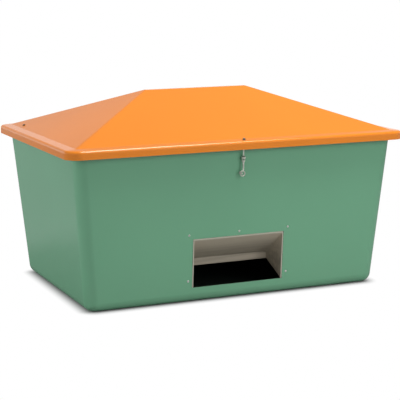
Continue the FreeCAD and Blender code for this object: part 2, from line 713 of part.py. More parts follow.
def make_catch():
    """Catch: eye bolt on the lid, hanging link with its pin, and the stud that it goes over."""
    bore = "Sizes.catch_pin_radius + Sizes.running_clearance"
    eye = new_body("catch_eye_bolt")
    shank = flat_sketch(eye, "Shank", "XY_Plane", "Sizes.eye_top")
    circles(shank, "Sizes.large_thread_radius", [("0", "0")])
    pad(eye, shank, "Sizes.eye_top + Sizes.eye_drop", back=True)
    ring = flat_sketch(eye, "Ring", "YZ_Plane")
    circles(ring, "Sizes.eye_radius", [("0", "-Sizes.eye_drop")])
    pad(eye, ring, "Sizes.eye_thickness", symmetric=True)
    hole = flat_sketch(eye, "Hole", "YZ_Plane")
    circles(hole, bore, [("0", "-Sizes.eye_drop")])
    pocket(eye, hole, "2 * Sizes.eye_thickness", symmetric=True)
    place_body(eye, ("0", CATCH_Y, CATCH_Z), X_AXIS, BORDER_SLOPE)

    inside = "(Sizes.eye_thickness / 2 + Sizes.fork_gap)"
    outside = f"({inside} + Sizes.fork_lug_thickness)"
    link = new_body("catch_link")
    fork = flat_sketch(link, "Fork", "XZ_Plane")
    rectangle(fork, f"-{outside}", outside, "-Sizes.fork_depth", "0")
    pad(link, fork, "Sizes.link_thickness", symmetric=True)
    lugs = flat_sketch(link, "Lugs", "YZ_Plane")
    circles(lugs, "Sizes.fork_lug_radius", [("0", "0")])
    pad(link, lugs, f"2 * {outside}", symmetric=True)
    slot = flat_sketch(link, "Slot", "XZ_Plane")
    rectangle(slot, f"-{inside}", inside, "Sizes.fork_root - Sizes.fork_depth", "2 * Sizes.fork_lug_radius")
    pocket(link, slot, "4 * Sizes.fork_lug_radius", symmetric=True)
    bar = flat_sketch(link, "Bar", "XZ_Plane")
    half = "Sizes.link_shank_width / 2"
    bar_foot = "Sizes.link_ring_inner - Sizes.link_length"
    rectangle(bar, f"-{half}", half, bar_foot, "Sizes.fork_root / 2 - Sizes.fork_depth")
    pad(link, bar, "Sizes.link_thickness", symmetric=True)
    ring = ("-Sizes.link_ring_offset", "-Sizes.link_length")
    loop = flat_sketch(link, "Loop", "XZ_Plane")
    circles(loop, "Sizes.link_ring_outer", [ring])
    pad(link, loop, "Sizes.link_thickness", symmetric=True)
    eyelet = flat_sketch(link, "Eyelet", "XZ_Plane")
    circles(eyelet, "Sizes.link_ring_inner", [ring])
    pocket(link, eyelet, "2 * Sizes.link_thickness", symmetric=True)
    pin_hole = flat_sketch(link, "PinHole", "YZ_Plane")
    circles(pin_hole, bore, [("0", "0")])
    pocket(link, pin_hole, f"4 * {outside}", symmetric=True)
    place_body(link, ("0", PIN_Y, PIN_Z))

    pin = new_body("catch_pin")
    headed_pin(pin, "Sizes.catch_pin", f"-{outside}", outside)
    place_body(pin, ("0", PIN_Y, PIN_Z))

    stud = new_body("catch_stud")
    collar = flat_sketch(stud, "Collar", "XY_Plane")
    circles(collar, "Sizes.stud_collar_radius", [("0", "0")])
    pad(stud, collar, "Sizes.stud_collar_height")
    post = flat_sketch(stud, "Post", "XY_Plane")
    circles(post, "Sizes.stud_radius", [("0", "0")])
    pad(stud, post, "Sizes.stud_length")
    thread = flat_sketch(stud, "Thread", "XY_Plane")
    circles(thread, "Sizes.large_thread_radius", [("0", "0")])
    nut_room = "Sizes.washer_thickness + Sizes.large_nut_height + Sizes.thread_past_nut"
    pad(stud, thread, f"Sizes.tub_wall + {nut_room}", back=True)
    cross = flat_sketch(stud, "Cross", "YZ_Plane")
    circles(cross, "Sizes.stud_hole_radius", [("0", "Sizes.stud_length - Sizes.stud_hole_margin")])
    pocket(stud, cross, "4 * Sizes.stud_radius", symmetric=True)
    out = f"-(Sizes.base_width / 2 + {STUD_UP} * sin(Sizes.wall_lean))"
    up = f"{STUD_UP} * cos(Sizes.wall_lean)"
    place_body(stud, ("-Sizes.link_ring_offset", out, up), X_AXIS, "90 + Sizes.wall_lean")


def headed_pin(body, family, start, end):
    """Make a pin along X between two places, with a head beyond each."""
    height = f"{family}_head_height"
    shank = flat_sketch(body, "Shank", "YZ_Plane", start)
    circles(shank, f"{family}_radius", [("0", "0")])
    pad(body, shank, f"{end} - ({start})")
    for place, back in ((start, True), (end, False)):
        head = flat_sketch(body, "Head", "YZ_Plane", place)
        circles(head, f"{family}_head_radius", [("0", "0")])
        pad(body, head, height, back=back)


def make_prop():
    """Lid prop: bracket under the left slope, rod with its pin, and the rest inside the tub."""
    bore = "Sizes.prop_pin_radius + Sizes.running_clearance"
    bracket = new_body("prop_bracket")
    start = f"({PROP_BOLT_X} - Sizes.prop_bracket_reach)"
    inner = f"({EAR_X} + Sizes.prop_bracket_thickness)"
    foot = f"{PIVOT_Z} - Sizes.prop_ear_margin"
    drop = f"Sizes.prop_bracket_thickness / cos({ROOF_SLOPE})"
    side = flat_sketch(bracket, "Side", "XZ_Plane")
    outline(
        side,
        [
            (start, f"{roof_height(start)} - Sizes.lid_wall"),
            (start, f"{roof_height(start)} - Sizes.lid_wall - {drop}"),
            (EAR_X, f"{roof_height(EAR_X)} - Sizes.lid_wall - {drop}"),
            (EAR_X, foot),
            (inner, foot),
            (inner, f"{roof_height(inner)} - Sizes.lid_wall"),
        ],
    )
    pad(bracket, side, "Sizes.prop_bracket_width", symmetric=True)
    pin_hole = flat_sketch(bracket, "PinHole", "YZ_Plane", EAR_X)
    circles(pin_hole, bore, [("0", PIVOT_Z)])
    pocket(bracket, pin_hole, "4 * Sizes.prop_bracket_thickness", symmetric=True)
    bolt_place = (PROP_BOLT_X, "0", roof_height(PROP_BOLT_X))
    bolt_hole = placed_sketch(bracket, "BoltHole", bolt_place, Y_AXIS, f"-{ROOF_SLOPE}")
    circles(bolt_hole, "Sizes.large_thread_radius + Sizes.hole_clearance", [("0", "0")])
    pocket(bracket, bolt_hole, "8 * Sizes.prop_bracket_thickness", symmetric=True)
    place_body(bracket, ("0", PROP_Y, "0"))

    rod = new_body("lid_prop")
    eye = flat_sketch(rod, "Eye", "YZ_Plane")
    circles(eye, "Sizes.prop_eye_radius", [("0", "0")])
    pad(rod, eye, "Sizes.prop_eye_thickness", symmetric=True)
    start = "-(Sizes.prop_pin_radius + Sizes.prop_rod_radius)"
    section = flat_sketch(rod, "Section", "XY_Plane", start)
    circles(section, "Sizes.prop_rod_radius", [("0", "0")])
    path = flat_sketch(rod, "Path", "XZ_Plane")
    bent_line(path, start, "Sizes.prop_length", "Sizes.prop_foot_length", "Sizes.prop_bend_radius")
    sweep = rod.newObject("PartDesign::AdditivePipe", "Sweep")
    sweep.Profile = section
    sweep.Spine = path
    doc.recompute()
    hole = flat_sketch(rod, "Hole", "YZ_Plane")
    circles(hole, bore, [("0", "0")])
    pocket(rod, hole, "4 * Sizes.prop_rod_radius", symmetric=True)
    place_body(rod, (ROD_X, PROP_Y, PIVOT_Z))

    pin = new_body("prop_pin")
    end = f"({inner} + 2 * Sizes.prop_side_gap + Sizes.prop_eye_thickness)"
    headed_pin(pin, "Sizes.prop_pin", EAR_X, end)
    place_body(pin, ("0", PROP_Y, PIVOT_Z))

    rest = new_body("prop_rest")
    lip = f"({ROD_X} - Sizes.rest_lip_offset)"
    plate = "Sizes.rest_thickness / cos(Sizes.wall_lean)"
    low, shelf, lip_top, seat_height = (
        f"(Sizes.rim_top - Sizes.rest_{part}_below_rim)" for part in ("leaf", "shelf", "lip", "seat")
    )
    top = f"({shelf} + Sizes.rest_thickness)"
    side = flat_sketch(rest, "Side", "XZ_Plane")
    outline(
        side,
        [
            (inner_wall(low), low),
            (f"{inner_wall(low)} + {plate}", low),
            (f"{inner_wall(shelf)} + {plate}", shelf),
            (lip, shelf),
            (lip, lip_top),
            (f"{lip} - Sizes.rest_thickness", lip_top),
            (f"{lip} - Sizes.rest_thickness", top),
            (inner_wall(top), top),
        ],
    )
    pad(rest, side, "Sizes.rest_width", symmetric=True)
    seat = "(Sizes.prop_rod_radius + Sizes.rest_notch_clearance)"
    round_notch = flat_sketch(rest, "RoundNotch", "YZ_Plane", lip)
    circles(round_notch, seat, [("0", seat_height)])
    pocket(rest, round_notch, "4 * Sizes.rest_thickness", symmetric=True)
    notch = flat_sketch(rest, "Notch", "YZ_Plane", lip)
    rectangle(notch, f"-{seat}", seat, seat_height, f"{lip_top} + Sizes.rest_thickness")
    pocket(rest, notch, "4 * Sizes.rest_thickness", symmetric=True)
    place_body(rest, ("0", REST_Y, "0"))


def inner_wall(height):
    """Give the left wall's inner face at one height, as an expression."""
    return f"({SLANT_WALL} - Sizes.base_length / 2 - {height} * {LEAN})"


def bent_line(sketch, start, length, foot, radius):
    """Draw a path that goes down from a start, bends to the left and runs along a foot."""
    down = Part.LineSegment(FreeCAD.Vector(0, -9, 0), FreeCAD.Vector(0, -343, 0))
    circle = Part.Circle(FreeCAD.Vector(-10, -343, 0), Z_AXIS, 10)
    bend = Part.ArcOfCircle(circle, -math.pi / 2, 0)
    along = Part.LineSegment(FreeCAD.Vector(-10, -353, 0), FreeCAD.Vector(-28, -353, 0))
    sketch.addGeometry([down, bend, along])
    sketch.addConstraint(Sketcher.Constraint("Vertical", 0))
    sketch.addConstraint(Sketcher.Constraint("Horizontal", 2))
    sketch.addConstraint(Sketcher.Constraint("Tangent", 0, 2, 1, 2))
    sketch.addConstraint(Sketcher.Constraint("Tangent", 1, 1, 2, 1))
    sketch.addConstraint(Sketcher.Constraint("PointOnObject", 0, 1, -2))
    bind_size(sketch, "start", Sketcher.Constraint("DistanceY", -1, 1, 0, 1, -9), start)
    bind_size(sketch, "length", Sketcher.Constraint("DistanceY", -1, 1, 2, 2, -353), f"-{length}")
    bind_size(sketch, "foot", Sketcher.Constraint("DistanceX", -1, 1, 2, 2, -28), f"-{foot}")
    bind_size(sketch, "bend", Sketcher.Constraint("Radius", 1, 10), radius)


def disc(radius, low, high, bore=0.0):
    """Make a round piece along Z between two heights, with a bore through it."""
    shape = Part.makeCylinder(radius, high - low, FreeCAD.Vector(0, 0, low))
    if bore:
        shape = shape.cut(Part.makeCylinder(bore, high - low, FreeCAD.Vector(0, 0, low)))
    return shape


def hexagon(flats, low, high, bore=0.0):
    """Make a six-sided piece along Z between two heights, with a bore through it."""
    reach = flats / math.sqrt(3)
    turns = [math.radians(60 * step) for step in range(7)]
    ring = [FreeCAD.Vector(reach * math.cos(turn), reach * math.sin(turn), low) for turn in turns]
    shape = Part.Face(Part.makePolygon(ring)).extrude(FreeCAD.Vector(0, 0, high - low))
    if bore:
        shape = shape.cut(Part.makeCylinder(bore, high - low, FreeCAD.Vector(0, 0, low)))
    return shape


def hole_places(key, flip=False):
    """Give the place of each hole, with Z along the sketch's normal or turned against it."""
    sketch = hole_sketches[key]
    turn = FreeCAD.Rotation(X_AXIS, 180 if flip else 0)
    return [
        FreeCAD.Placement(sketch.Placement.multVec(circle.Center), sketch.Placement.Rotation * turn)
        for circle in sketch.Geometry
    ]


def group(name, shapes, places):
    """Put copies of some shapes at each place, as one sub-part of separate solids."""
    copies = []
    for place in places:
        for shape in shapes:
            copy = shape.copy()
            copy.Placement = place * copy.Placement
            copies.append(copy)
    feature = doc.addObject("Part::Feature", name)
    feature.Label = name
    feature.Shape = Part.makeCompound(copies)


def make_fasteners():
    """Screws, bolts, washers and nuts, each set in line with the holes it goes through."""
    thin, past = value("washer_thickness"), value("thread_past_nut")
    families = {}
    for size in ("small", "large"):
        thread = value(f"{size}_thread_radius")
        bore = thread + value("running_clearance")
        families[size] = (thread, bore, value(f"{size}_nut_flats"), value(f"{size}_nut_height"))

    def washers(name, size, tops, places):
        _, bore, _, _ = families[size]
        radius = value(f"{size}_washer_radius")
        group(name, [disc(radius, top - thin, top, bore) for top in tops], places)

    def nuts(name, size, tops, places):
        _, bore, flats, height = families[size]
        group(name, [hexagon(flats, top - height, top, bore) for top in tops], places)

    def bolt(size, seat, grip, head):
        thread, _, _, height = families[size]
        return head.fuse(disc(thread, -(grip + thin + height + past), seat)).removeSplitter()

    small_height, large_height = value("small_head_height"), value("large_head_height")
    small_flats, large_flats = value("small_nut_flats"), value("large_nut_flats")

    places = hole_places("hood")
    grip = value("tub_wall") + value("hood_wall")
    head = disc(value("small_head_radius"), 0, small_height)
    rim = [edge for edge in head.Edges if edge.BoundBox.ZMin > small_height / 2]
    head = head.makeFillet(small_height / 2, rim)
    group("hood_screws", [bolt("small", 0, grip, head)], places)
    washers("hood_washers", "small", [-grip], places)
    nuts("hood_nuts", "small", [-grip - thin], places)

    places = hole_places("bracket", flip=True)
    seat, grip = value("bracket_thickness"), value("tub_wall")
    head = hexagon(large_flats, seat, seat + large_height)
    group("bracket_bolts", [bolt("large", seat, grip, head)], places)
    washers("bracket_washers", "large", [-grip], places)
    nuts("bracket_nuts", "large", [-grip - thin], places)

    places = hole_places("leaf", flip=True)
    seat, grip = value("leaf_thickness"), value("lid_wall")
    head = hexagon(small_flats, seat, seat + small_height)
    group("leaf_bolts", [bolt("small", seat, grip, head)], places)
    washers("leaf_washers", "small", [-grip], places)
    nuts("leaf_nuts", "small", [-grip - thin], places)

    places = hole_places("stud")
    grip = value("tub_wall")
    washers("catch_stud_washer", "large", [-grip], places)
    nuts("catch_stud_nut", "large", [-grip - thin], places)

    places = hole_places("eye")
    wall = value("lid_wall") * math.cos(math.atan(value("border_rise") / value("border_width")))
    washers("catch_washers", "large", [thin, -wall], places)
    nuts("catch_nuts", "large", [thin + value("large_nut_height"), -wall - thin], places)

    places = hole_places("prop")
    slope = places[0].Rotation.Angle
    grip = value("lid_wall") * math.cos(slope) + value("prop_bracket_thickness")
    head = hexagon(large_flats, 0, large_height)
    group("prop_bracket_bolt", [bolt("large", 0, grip, head)], places)
    washers("prop_bracket_washer", "large", [-grip], places)
    nuts("prop_bracket_nut", "large", [-grip - thin], places)


def make_buffers():
    """Rubber buffers: pads on the rim, each with a stem through it and a foot below."""
    slope = value("border_rise") / value("border_width")
    inset = value("lid_overhang") + value("rim_width") / 2 - value("buffer_radius")
    skirt_above_rim = value("skirt_height") - value("skirt_below_rim")
    height = skirt_above_rim - value("lid_wall") + inset * slope - value("buffer_gap")
    stem = disc(value("buffer_stem_radius"), -value("rim_thickness"), 0)
    foot_top = -value("rim_thickness")
    foot = disc(value("buffer_foot_radius"), foot_top - value("buffer_foot_height"), foot_top)
    buffer = disc(value("buffer_radius"), 0, height).fuse([stem, foot]).removeSplitter()
    group("rim_buffers", [buffer], hole_places("buffer"))


make_tub()
make_lid()
make_hood()
for name, side in (("left", -1), ("right", 1)):
    make_hinge(name, side)
make_catch()
make_prop()
make_fasteners()
make_buffers()
doc.recompute()

NODES = [item for item in doc.Objects if item.TypeId in ("PartDesign::Body", "Part::Feature")]
for item in doc.Objects:
    if "Invalid" in item.State or "Error" in item.State:
        raise ValueError(f"{item.Label} is {item.State}")
for node in NODES:
    if node.Shape.isNull() or not node.Shape.isValid() or not node.Shape.Solids:
        raise ValueError(f"{node.Label} has no valid shape")
    node.Shape.exportStep(f"parts/{node.Label}.step")
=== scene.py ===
# %% [markdown]
# # A grit salt bin in glass fibre
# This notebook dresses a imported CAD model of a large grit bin: a green tub with leaning walls,
# an orange hipped lid, a grey hood behind the dispensing opening, and steel fittings.
# The CAD solids are the frame. They are never moved, and they get better surfaces here, and
# the small fittings are made again with the detail that a solid model leaves out.

# %% Load the frame
import json
import math
from collections import namedtuple

import bpy
import numpy as np
from mathutils import Matrix, Vector


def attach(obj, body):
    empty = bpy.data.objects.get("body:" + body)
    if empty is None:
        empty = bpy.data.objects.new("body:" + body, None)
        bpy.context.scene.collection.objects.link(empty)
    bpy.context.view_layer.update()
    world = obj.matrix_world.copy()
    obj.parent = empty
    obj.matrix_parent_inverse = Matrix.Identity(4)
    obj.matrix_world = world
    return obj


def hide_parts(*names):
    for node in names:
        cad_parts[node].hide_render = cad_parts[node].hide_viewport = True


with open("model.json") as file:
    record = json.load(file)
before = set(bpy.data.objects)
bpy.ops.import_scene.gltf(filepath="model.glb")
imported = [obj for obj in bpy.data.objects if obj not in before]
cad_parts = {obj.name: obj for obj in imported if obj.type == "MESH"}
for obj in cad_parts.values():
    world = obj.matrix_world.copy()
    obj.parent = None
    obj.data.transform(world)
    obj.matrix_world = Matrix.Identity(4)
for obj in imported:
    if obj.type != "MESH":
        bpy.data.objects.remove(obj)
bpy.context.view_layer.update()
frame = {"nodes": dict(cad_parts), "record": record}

# %% [markdown]
# ## The camera
# A product photograph is usually taken with a long lens, which keeps upright edges nearly
# parallel. The place and direction below were worked out from the bin's own edges: the rim,
# the base and the ridge all have to fall where the photograph shows them.

# %% Camera
camera_place = (-2.7409, -6.4077, 1.6545)
camera_forward = Vector((0.39027, 0.90403, -0.17444))
camera_up = Vector((0.07572, 0.15730, 0.98464))
focal_pixels = 1304.0
image_pixels = 400.0
half_pixel = 0.5 / image_pixels

lens = bpy.data.cameras.new("camera")
lens.sensor_width = 36.0
lens.lens = focal_pixels / image_pixels * lens.sensor_width
lens.shift_x, lens.shift_y = -half_pixel, half_pixel
lens.clip_start, lens.clip_end = 0.1, 60.0
camera = bpy.data.objects.new("camera", lens)
bpy.context.scene.collection.objects.link(camera)
right = camera_forward.cross(camera_up).normalized()
upright = right.cross(camera_forward).normalized()
turn = Matrix((right, upright, -camera_forward.normalized())).transposed()
camera.matrix_world = Matrix.Translation(camera_place) @ turn.to_4x4()
bpy.context.scene.camera = camera
print("lens:", round(lens.lens, 1), "mm")

# %% [markdown]
# ## Shader arithmetic
# A finish is mostly arithmetic on positions: how far a point is from a wall, how high it is,
# how strong the noise is there. Node by node that is hard to read, so one class wraps a
# socket and turns Python's operators into Math nodes. Colours and vectors don't go through
# it, because a Math node would turn a colour grey. Every other node comes from one method,
# which the materials and the sky share.


# %% Numbers from nodes
class Wire:
    """One number coming out of a node; an operator on it adds a Math node."""

    def __init__(self, nodes, socket):
        self.nodes, self.socket = nodes, socket

    def math(self, operation, *others):
        return self.nodes.node("ShaderNodeMath", {"operation": operation}, dict(enumerate((self, *others))))

    def __add__(self, other):
        return self.math("ADD", other)

    def __sub__(self, other):
        return self.math("SUBTRACT", other)

    def __mul__(self, other):
        return self.math("MULTIPLY", other)

    def __rsub__(self, other):
        return self.nodes.number(other).math("SUBTRACT", self)

    def __neg__(self):
        return self * -1.0

    def __abs__(self):
        return self.math("ABSOLUTE")

    def __pow__(self, other):
        return self.math("POWER", other)

    __radd__ = __add__
    __rmul__ = __mul__

    def at_least(self, other):
        return self.math("MAXIMUM", other)

    def at_most(self, other):
        return self.math("MINIMUM", other)

    def fade(self, start, end, low=0.0, high=1.0):
        """Go smoothly from low at start to high at end."""
        settings = {"interpolation_type": "SMOOTHSTEP"}
        inputs = {"Value": self, "From Min": start, "From Max": end, "To Min": low, "To Max": high}
        return self.nodes.node("ShaderNodeMapRange", settings, inputs)


class Nodes:
    """The nodes of a material or of the sky."""

    def __init__(self, tree):
        self.tree = tree
        tree.nodes.clear()

    def join(self, source, socket):
        """Lead a wire to a socket, or set the socket to a number, a colour or a vector."""
        if isinstance(source, Wire):
            self.tree.links.new(source.socket, socket)
        else:
            socket.default_value = source

    def node(self, kind, settings=(), inputs=(), out=0):
        """Add a node: its settings first, then the values or wires of its sockets."""
        made = self.tree.nodes.new(kind)
        for name, setting in dict(settings).items():
            setattr(made, name, setting)
        for name, source in dict(inputs).items():
            self.join(source, made.inputs[name])
        return Wire(self, made.outputs[out])

    def number(self, number):
        return self.node("ShaderNodeMath", {"operation": "ADD"}, {0: float(number), 1: 0.0})

    def rays(self, *kinds):
        """1 for rays of any of these kinds, as the Light Path node names them, and else 0."""
        total, *others = [self.node("ShaderNodeLightPath", out=kind) for kind in kinds]
        for other in others:
            total = total.at_least(other)
        return total


print("wires and nodes ready")


# %% Finishes
class Finish(Nodes):
    """A material built from nodes, on one Principled shader."""

    def __init__(self, name, **constants):
        """Name the material, and set the shader's sockets that are the same all over."""
        self.material = bpy.data.materials.new(name)
        self.material.use_nodes = True
        super().__init__(self.material.node_tree)
        self.shader = self.tree.nodes.new("ShaderNodeBsdfPrincipled")
        self.output = self.tree.nodes.new("ShaderNodeOutputMaterial")
        self.tree.links.new(self.shader.outputs[0], self.output.inputs["Surface"])
        for socket, number in constants.items():
            self.feed(socket.replace("_", " ").title().replace("Ior", "IOR"), number)
        self.place = self.node("ShaderNodeTexCoord", out="Object")

    def feed(self, socket, source):
        """Give one of the shader's sockets a number, a colour or a wire."""
        self.join(source, self.shader.inputs[socket])

    def axes(self):
        """Split the object's own coordinates into x, y and z, in metres."""
        split = self.node("ShaderNodeSeparateXYZ", (), {0: self.place})
        return [Wire(self, socket) for socket in split.socket.node.outputs]

    def stretched(self, x, y, z, turn=(0.0, 0.0, 0.0)):
        """Scale, and if asked turn, the object's coordinates for a pattern."""
        inputs = {"Vector": self.place, "Rotation": turn, "Scale": (x, y, z)}
        return self.node("ShaderNodeMapping", (), inputs)

    def noise(self, scale, detail, roughness, place=None):
        inputs = {"Vector": place or self.place, "Scale": scale, "Detail": detail, "Roughness": roughness}
        return self.node("ShaderNodeTexNoise", (), inputs)

    def mix(self, amount, first, second):
        """Mix two colours by an amount between 0 and 1."""
        return self.node("ShaderNodeMix", {"data_type": "RGBA"}, {0: amount, 6: first, 7: second}, out=2)

    def bump(self, height):
        """Feed a relief to the shader; its height is in metres."""
        self.feed("Normal", self.node("ShaderNodeBump", (), {"Height": height, "Distance": 1.0}))


print("finishes ready")

# %% [markdown]
# Colours are given as they are seen on a screen. A shader reckons with the amount of light, so
# each part is turned into that first.


# %% Colours
def colour(red, green, blue):
    """Turn a colour as seen on a screen, 0 to 255, into the linear one that shaders use."""
    shares = np.array([red, green, blue]) / 255.0
    linear = np.where(shares <= 0.04045, shares / 12.92, ((shares + 0.055) / 1.055) ** 2.4)
    return (*[float(number) for number in linear], 1.0)


def tinted(tone, share):
    """A colour made lighter or darker by a share of itself."""
    return (*[min(1.0, part * share) for part in tone[:3]], 1.0)


print("a middle grey on screen is", round(colour(128, 128, 128)[0], 3), "in light")

# %% [markdown]
# ## Which side of the moulding is this?
# Glass fibre is laid up against a polished mould, so only the outside is smooth. The inside
# shows the rough mat of chopped strands. The tub is one piece with both sides in it, so its
# finish measures how far a point is from the ideal outer surface: a box with leaning walls,
# a rounded plan and a rounded base edge. Zero is the outside, and one wall less is the inside.

# %% Distance from the outer skin
half_length, half_width = 0.804, 0.520
lean_angle = math.radians(4.855)
lean = math.tan(lean_angle)
corner_radius, base_radius = 0.060, 0.050


def rounded_corner(first, second, radius):
    """Join two distances by a quarter circle: the distance to a box edge of that radius."""
    first, second = first + radius, second + radius
    outside = (first.at_least(0.0) ** 2.0 + second.at_least(0.0) ** 2.0) ** 0.5
    return outside + first.at_least(second).at_most(0.0) - radius


def distance_from_tub(finish):
    """Signed distance in metres from the tub's outer skin, negative inside the wall."""
    x, y, z = finish.axes()
    side = (abs(x) - z * lean - half_length) * math.cos(lean_angle)
    end = (abs(y) - z * lean - half_width) * math.cos(lean_angle)
    return rounded_corner(rounded_corner(side, end, corner_radius), -z, base_radius)


print("tub skin at the base:", half_length, half_width)

# %% [markdown]
# ## Gelcoat, and the mat behind it
# Gelcoat is a thick pigmented resin skin. It is glossy, but never as flat as paint on steel:
# the laminate behind it shrinks as it cures, and leaves a slow ripple that bends every
# reflection. Fine dust settles low down, where it dulls the gloss a little.
# The laminate side is matt and bristly: short strands lying every way, drowned in resin.
# The strands here are noise that is stretched along three directions. The strongest of the
# three wins at each point, which leaves short crossing fibres.


# %% Gelcoat
def chopped_strands(finish):
    """Short fibres lying in three directions, about 40 mm long and 2 mm wide."""
    layers = []
    for turn in ((0.0, 0.0, 0.6), (0.5, 0.3, 1.9), (1.1, 0.8, -0.7)):
        place = finish.stretched(24.0, 380.0, 380.0, turn)
        layers.append(finish.noise(1.0, 2.0, 0.5, place))
    return layers[0].at_least(layers[1]).at_least(layers[2])


def gelcoat(name, skin, back, outside):
    """Glossy pigmented resin outside, rough chopped-strand laminate inside.

    outside is a function that gives 1 on the moulded side and 0 on the laminate side.
    """
    ripple_height, strand_height, resin_height = 0.0004, 0.0009, 0.0014
    dust_reaches, dust_colour, dust_share = 0.30, colour(150, 142, 128), 0.05
    finish = Finish(name, ior=1.5)
    z = finish.axes()[2]
    face = outside(finish)
    cloud = finish.noise(1.3, 2.0, 0.5)
    speck = finish.noise(260.0, 2.0, 0.6)
    toned = finish.mix(cloud.fade(0.3, 0.7), tinted(skin, 0.975), tinted(skin, 1.02))
    dust = z.fade(dust_reaches, 0.0) * finish.noise(9.0, 4.0, 0.6).fade(0.30, 0.90)
    dusty = finish.mix(dust * dust_share, toned, dust_colour)
    mat = chopped_strands(finish)
    wet = finish.noise(14.0, 3.0, 0.6)
    resin = finish.mix(wet.fade(0.35, 0.65), tinted(back, 0.8), tinted(back, 1.2))
    laminate = finish.mix(mat.fade(0.58, 0.72), resin, tinted(back, 2.1))
    finish.feed("Base Color", finish.mix(face, laminate, dusty))
    glossy = 0.12 + cloud * 0.05 + dust * 0.12 + speck * 0.02
    finish.feed("Roughness", face * glossy + (1.0 - face) * (0.62 + wet * 0.25))
    slow = finish.noise(6.5, 2.0, 0.4) + finish.noise(19.0, 1.0, 0.4) * 0.2
    bristle = mat.fade(0.5, 0.8) * strand_height + wet * resin_height
    finish.bump(face * slow * ripple_height + (1.0 - face) * bristle)
    return finish.material


def outside_of_tub(finish):
    """1 on the tub's outer skin and rim, 0 on the laminate inside.

    Round the opening the wall was sawn through, so there the skin is only a millimetre deep.
    """
    distance = distance_from_tub(finish)
    x, _, z = finish.axes()
    sawn = abs(x).fade(0.270, 0.262) * z.fade(0.060, 0.068) * z.fade(0.350, 0.342)
    skin_only = distance.fade(-0.0016, -0.0006)
    return distance.fade(-0.0045, -0.0015) * (1.0 - sawn * (1.0 - skin_only))


# The tub's inside laminate is near black: painted shade for the dark inside of the closed bin. The sawn
# edge round the opening shows the same painted shade.
tub_gelcoat = gelcoat("tub_gelcoat", colour(115, 174, 139), colour(26, 33, 29), outside_of_tub)
print("tub gelcoat:", len(tub_gelcoat.node_tree.nodes), "nodes")

# %% [markdown]
# The lid's two sides are told apart in the same way. Its outside is a skirt, a nearly flat
# border and four slopes, and each slope is a plane, so the height of the outer skin above any
# point of the plan is the lowest of a few straight expressions.

# %% Lid gelcoat
lid_half_length, lid_half_width = 0.920, 0.636
lid_corner_radius, skirt_edge_radius = 0.070, 0.014
skirt_top, border_top, ridge_top = 0.819, 0.824, 1.034
border_width = 0.058
ridge_half, ridge_flat_half = 0.291, 0.010
end_slope = (ridge_top - border_top) / (lid_half_length - border_width - ridge_half)
side_slope = (ridge_top - border_top) / (lid_half_width - border_width - ridge_flat_half)
border_slope = (border_top - skirt_top) / border_width


def outside_of_lid(finish):
    """1 on the lid's outer skin, 0 on the laminate below it."""
    x, y, z = finish.axes()
    from_end = lid_half_length - abs(x)
    from_side = lid_half_width - abs(y)
    end_roof = (from_end - border_width) * end_slope + border_top
    side_roof = (from_side - border_width) * side_slope + border_top
    border = from_end.at_most(from_side) * border_slope + skirt_top
    roof = end_roof.at_most(side_roof).at_least(border).at_most(ridge_top)
    below = roof - z
    inwards = -rounded_corner(-from_end, -from_side, lid_corner_radius)
    rounding = rounded_corner(-inwards, z - skirt_top, skirt_edge_radius)
    depth = below.at_most(inwards.at_most(-rounding))
    return 1.0 - depth.fade(0.0015, 0.0035)


lid_orange = (0.80, 0.232, 0.016, 1.0)
lid_gelcoat = gelcoat("lid_gelcoat", lid_orange, colour(96, 52, 22), outside_of_lid)
print("lid gelcoat:", len(lid_gelcoat.node_tree.nodes), "nodes")

# %% [markdown]
# ## The hood's satin grey
# The hood is a smaller moulding in a warm grey. Grit slides over it all winter, so its
# sheen is broken by fine scratches that run down the slope. Where the hood's own edge comes
# out to the front through the opening, it is painted pale: a painted highlight along the edge,
# and the paler trimmed edge. High up, under the opening's top edge, the slope is painted paler
# where more light falls.


# %% Hood gelcoat
def satin_moulding(name, skin):
    """Warm grey satin resin with scratches that run downwards and a painted highlight on its front edge.

    Faint bands lie along its slope, and high up, under the opening's top edge, it is painted paler as
    painted light.
    """
    edge_highlight_tone = colour(206, 200, 184)
    finish = Finish(name, coat_roughness=0.25, ior=1.48)
    cloud = finish.noise(7.0, 4.0, 0.6)
    bands = finish.noise(1.0, 2.0, 0.5, finish.stretched(2.0, 46.0, 46.0))
    scratch = finish.noise(1.0, 3.0, 0.6, finish.stretched(420.0, 14.0, 14.0))
    scuffed = scratch.fade(0.58, 0.72) * cloud.fade(0.35, 0.7)
    # Painted highlight: the lip's front edge is painted pale, and so is the paler trimmed edge.
    edge_highlight = distance_from_tub(finish).fade(-0.0050, -0.0035)
    banded = finish.mix(bands.fade(0.38, 0.62), tinted(skin, 0.74), tinted(skin, 0.94))
    # Painted light: the slope's colour is paler high up, under the opening's top edge.
    toned = finish.mix(finish.axes()[2].fade(0.19, 0.31), banded, tinted(skin, 1.26))
    scratched = finish.mix(scuffed * 0.35, toned, tinted(skin, 1.3))
    finish.feed("Base Color", finish.mix(edge_highlight, scratched, edge_highlight_tone))
    finish.feed("Roughness", 0.42 + cloud * 0.08 + scuffed * 0.15)
    finish.feed("Coat Weight", 0.2 - scuffed * 0.18)
    finish.bump(finish.noise(30.0, 3.0, 0.5) * 0.0002 - scuffed * 0.00006)
    return finish.material


hood_gelcoat = satin_moulding("hood_gelcoat", colour(182, 172, 154))
print("hood gelcoat ready")
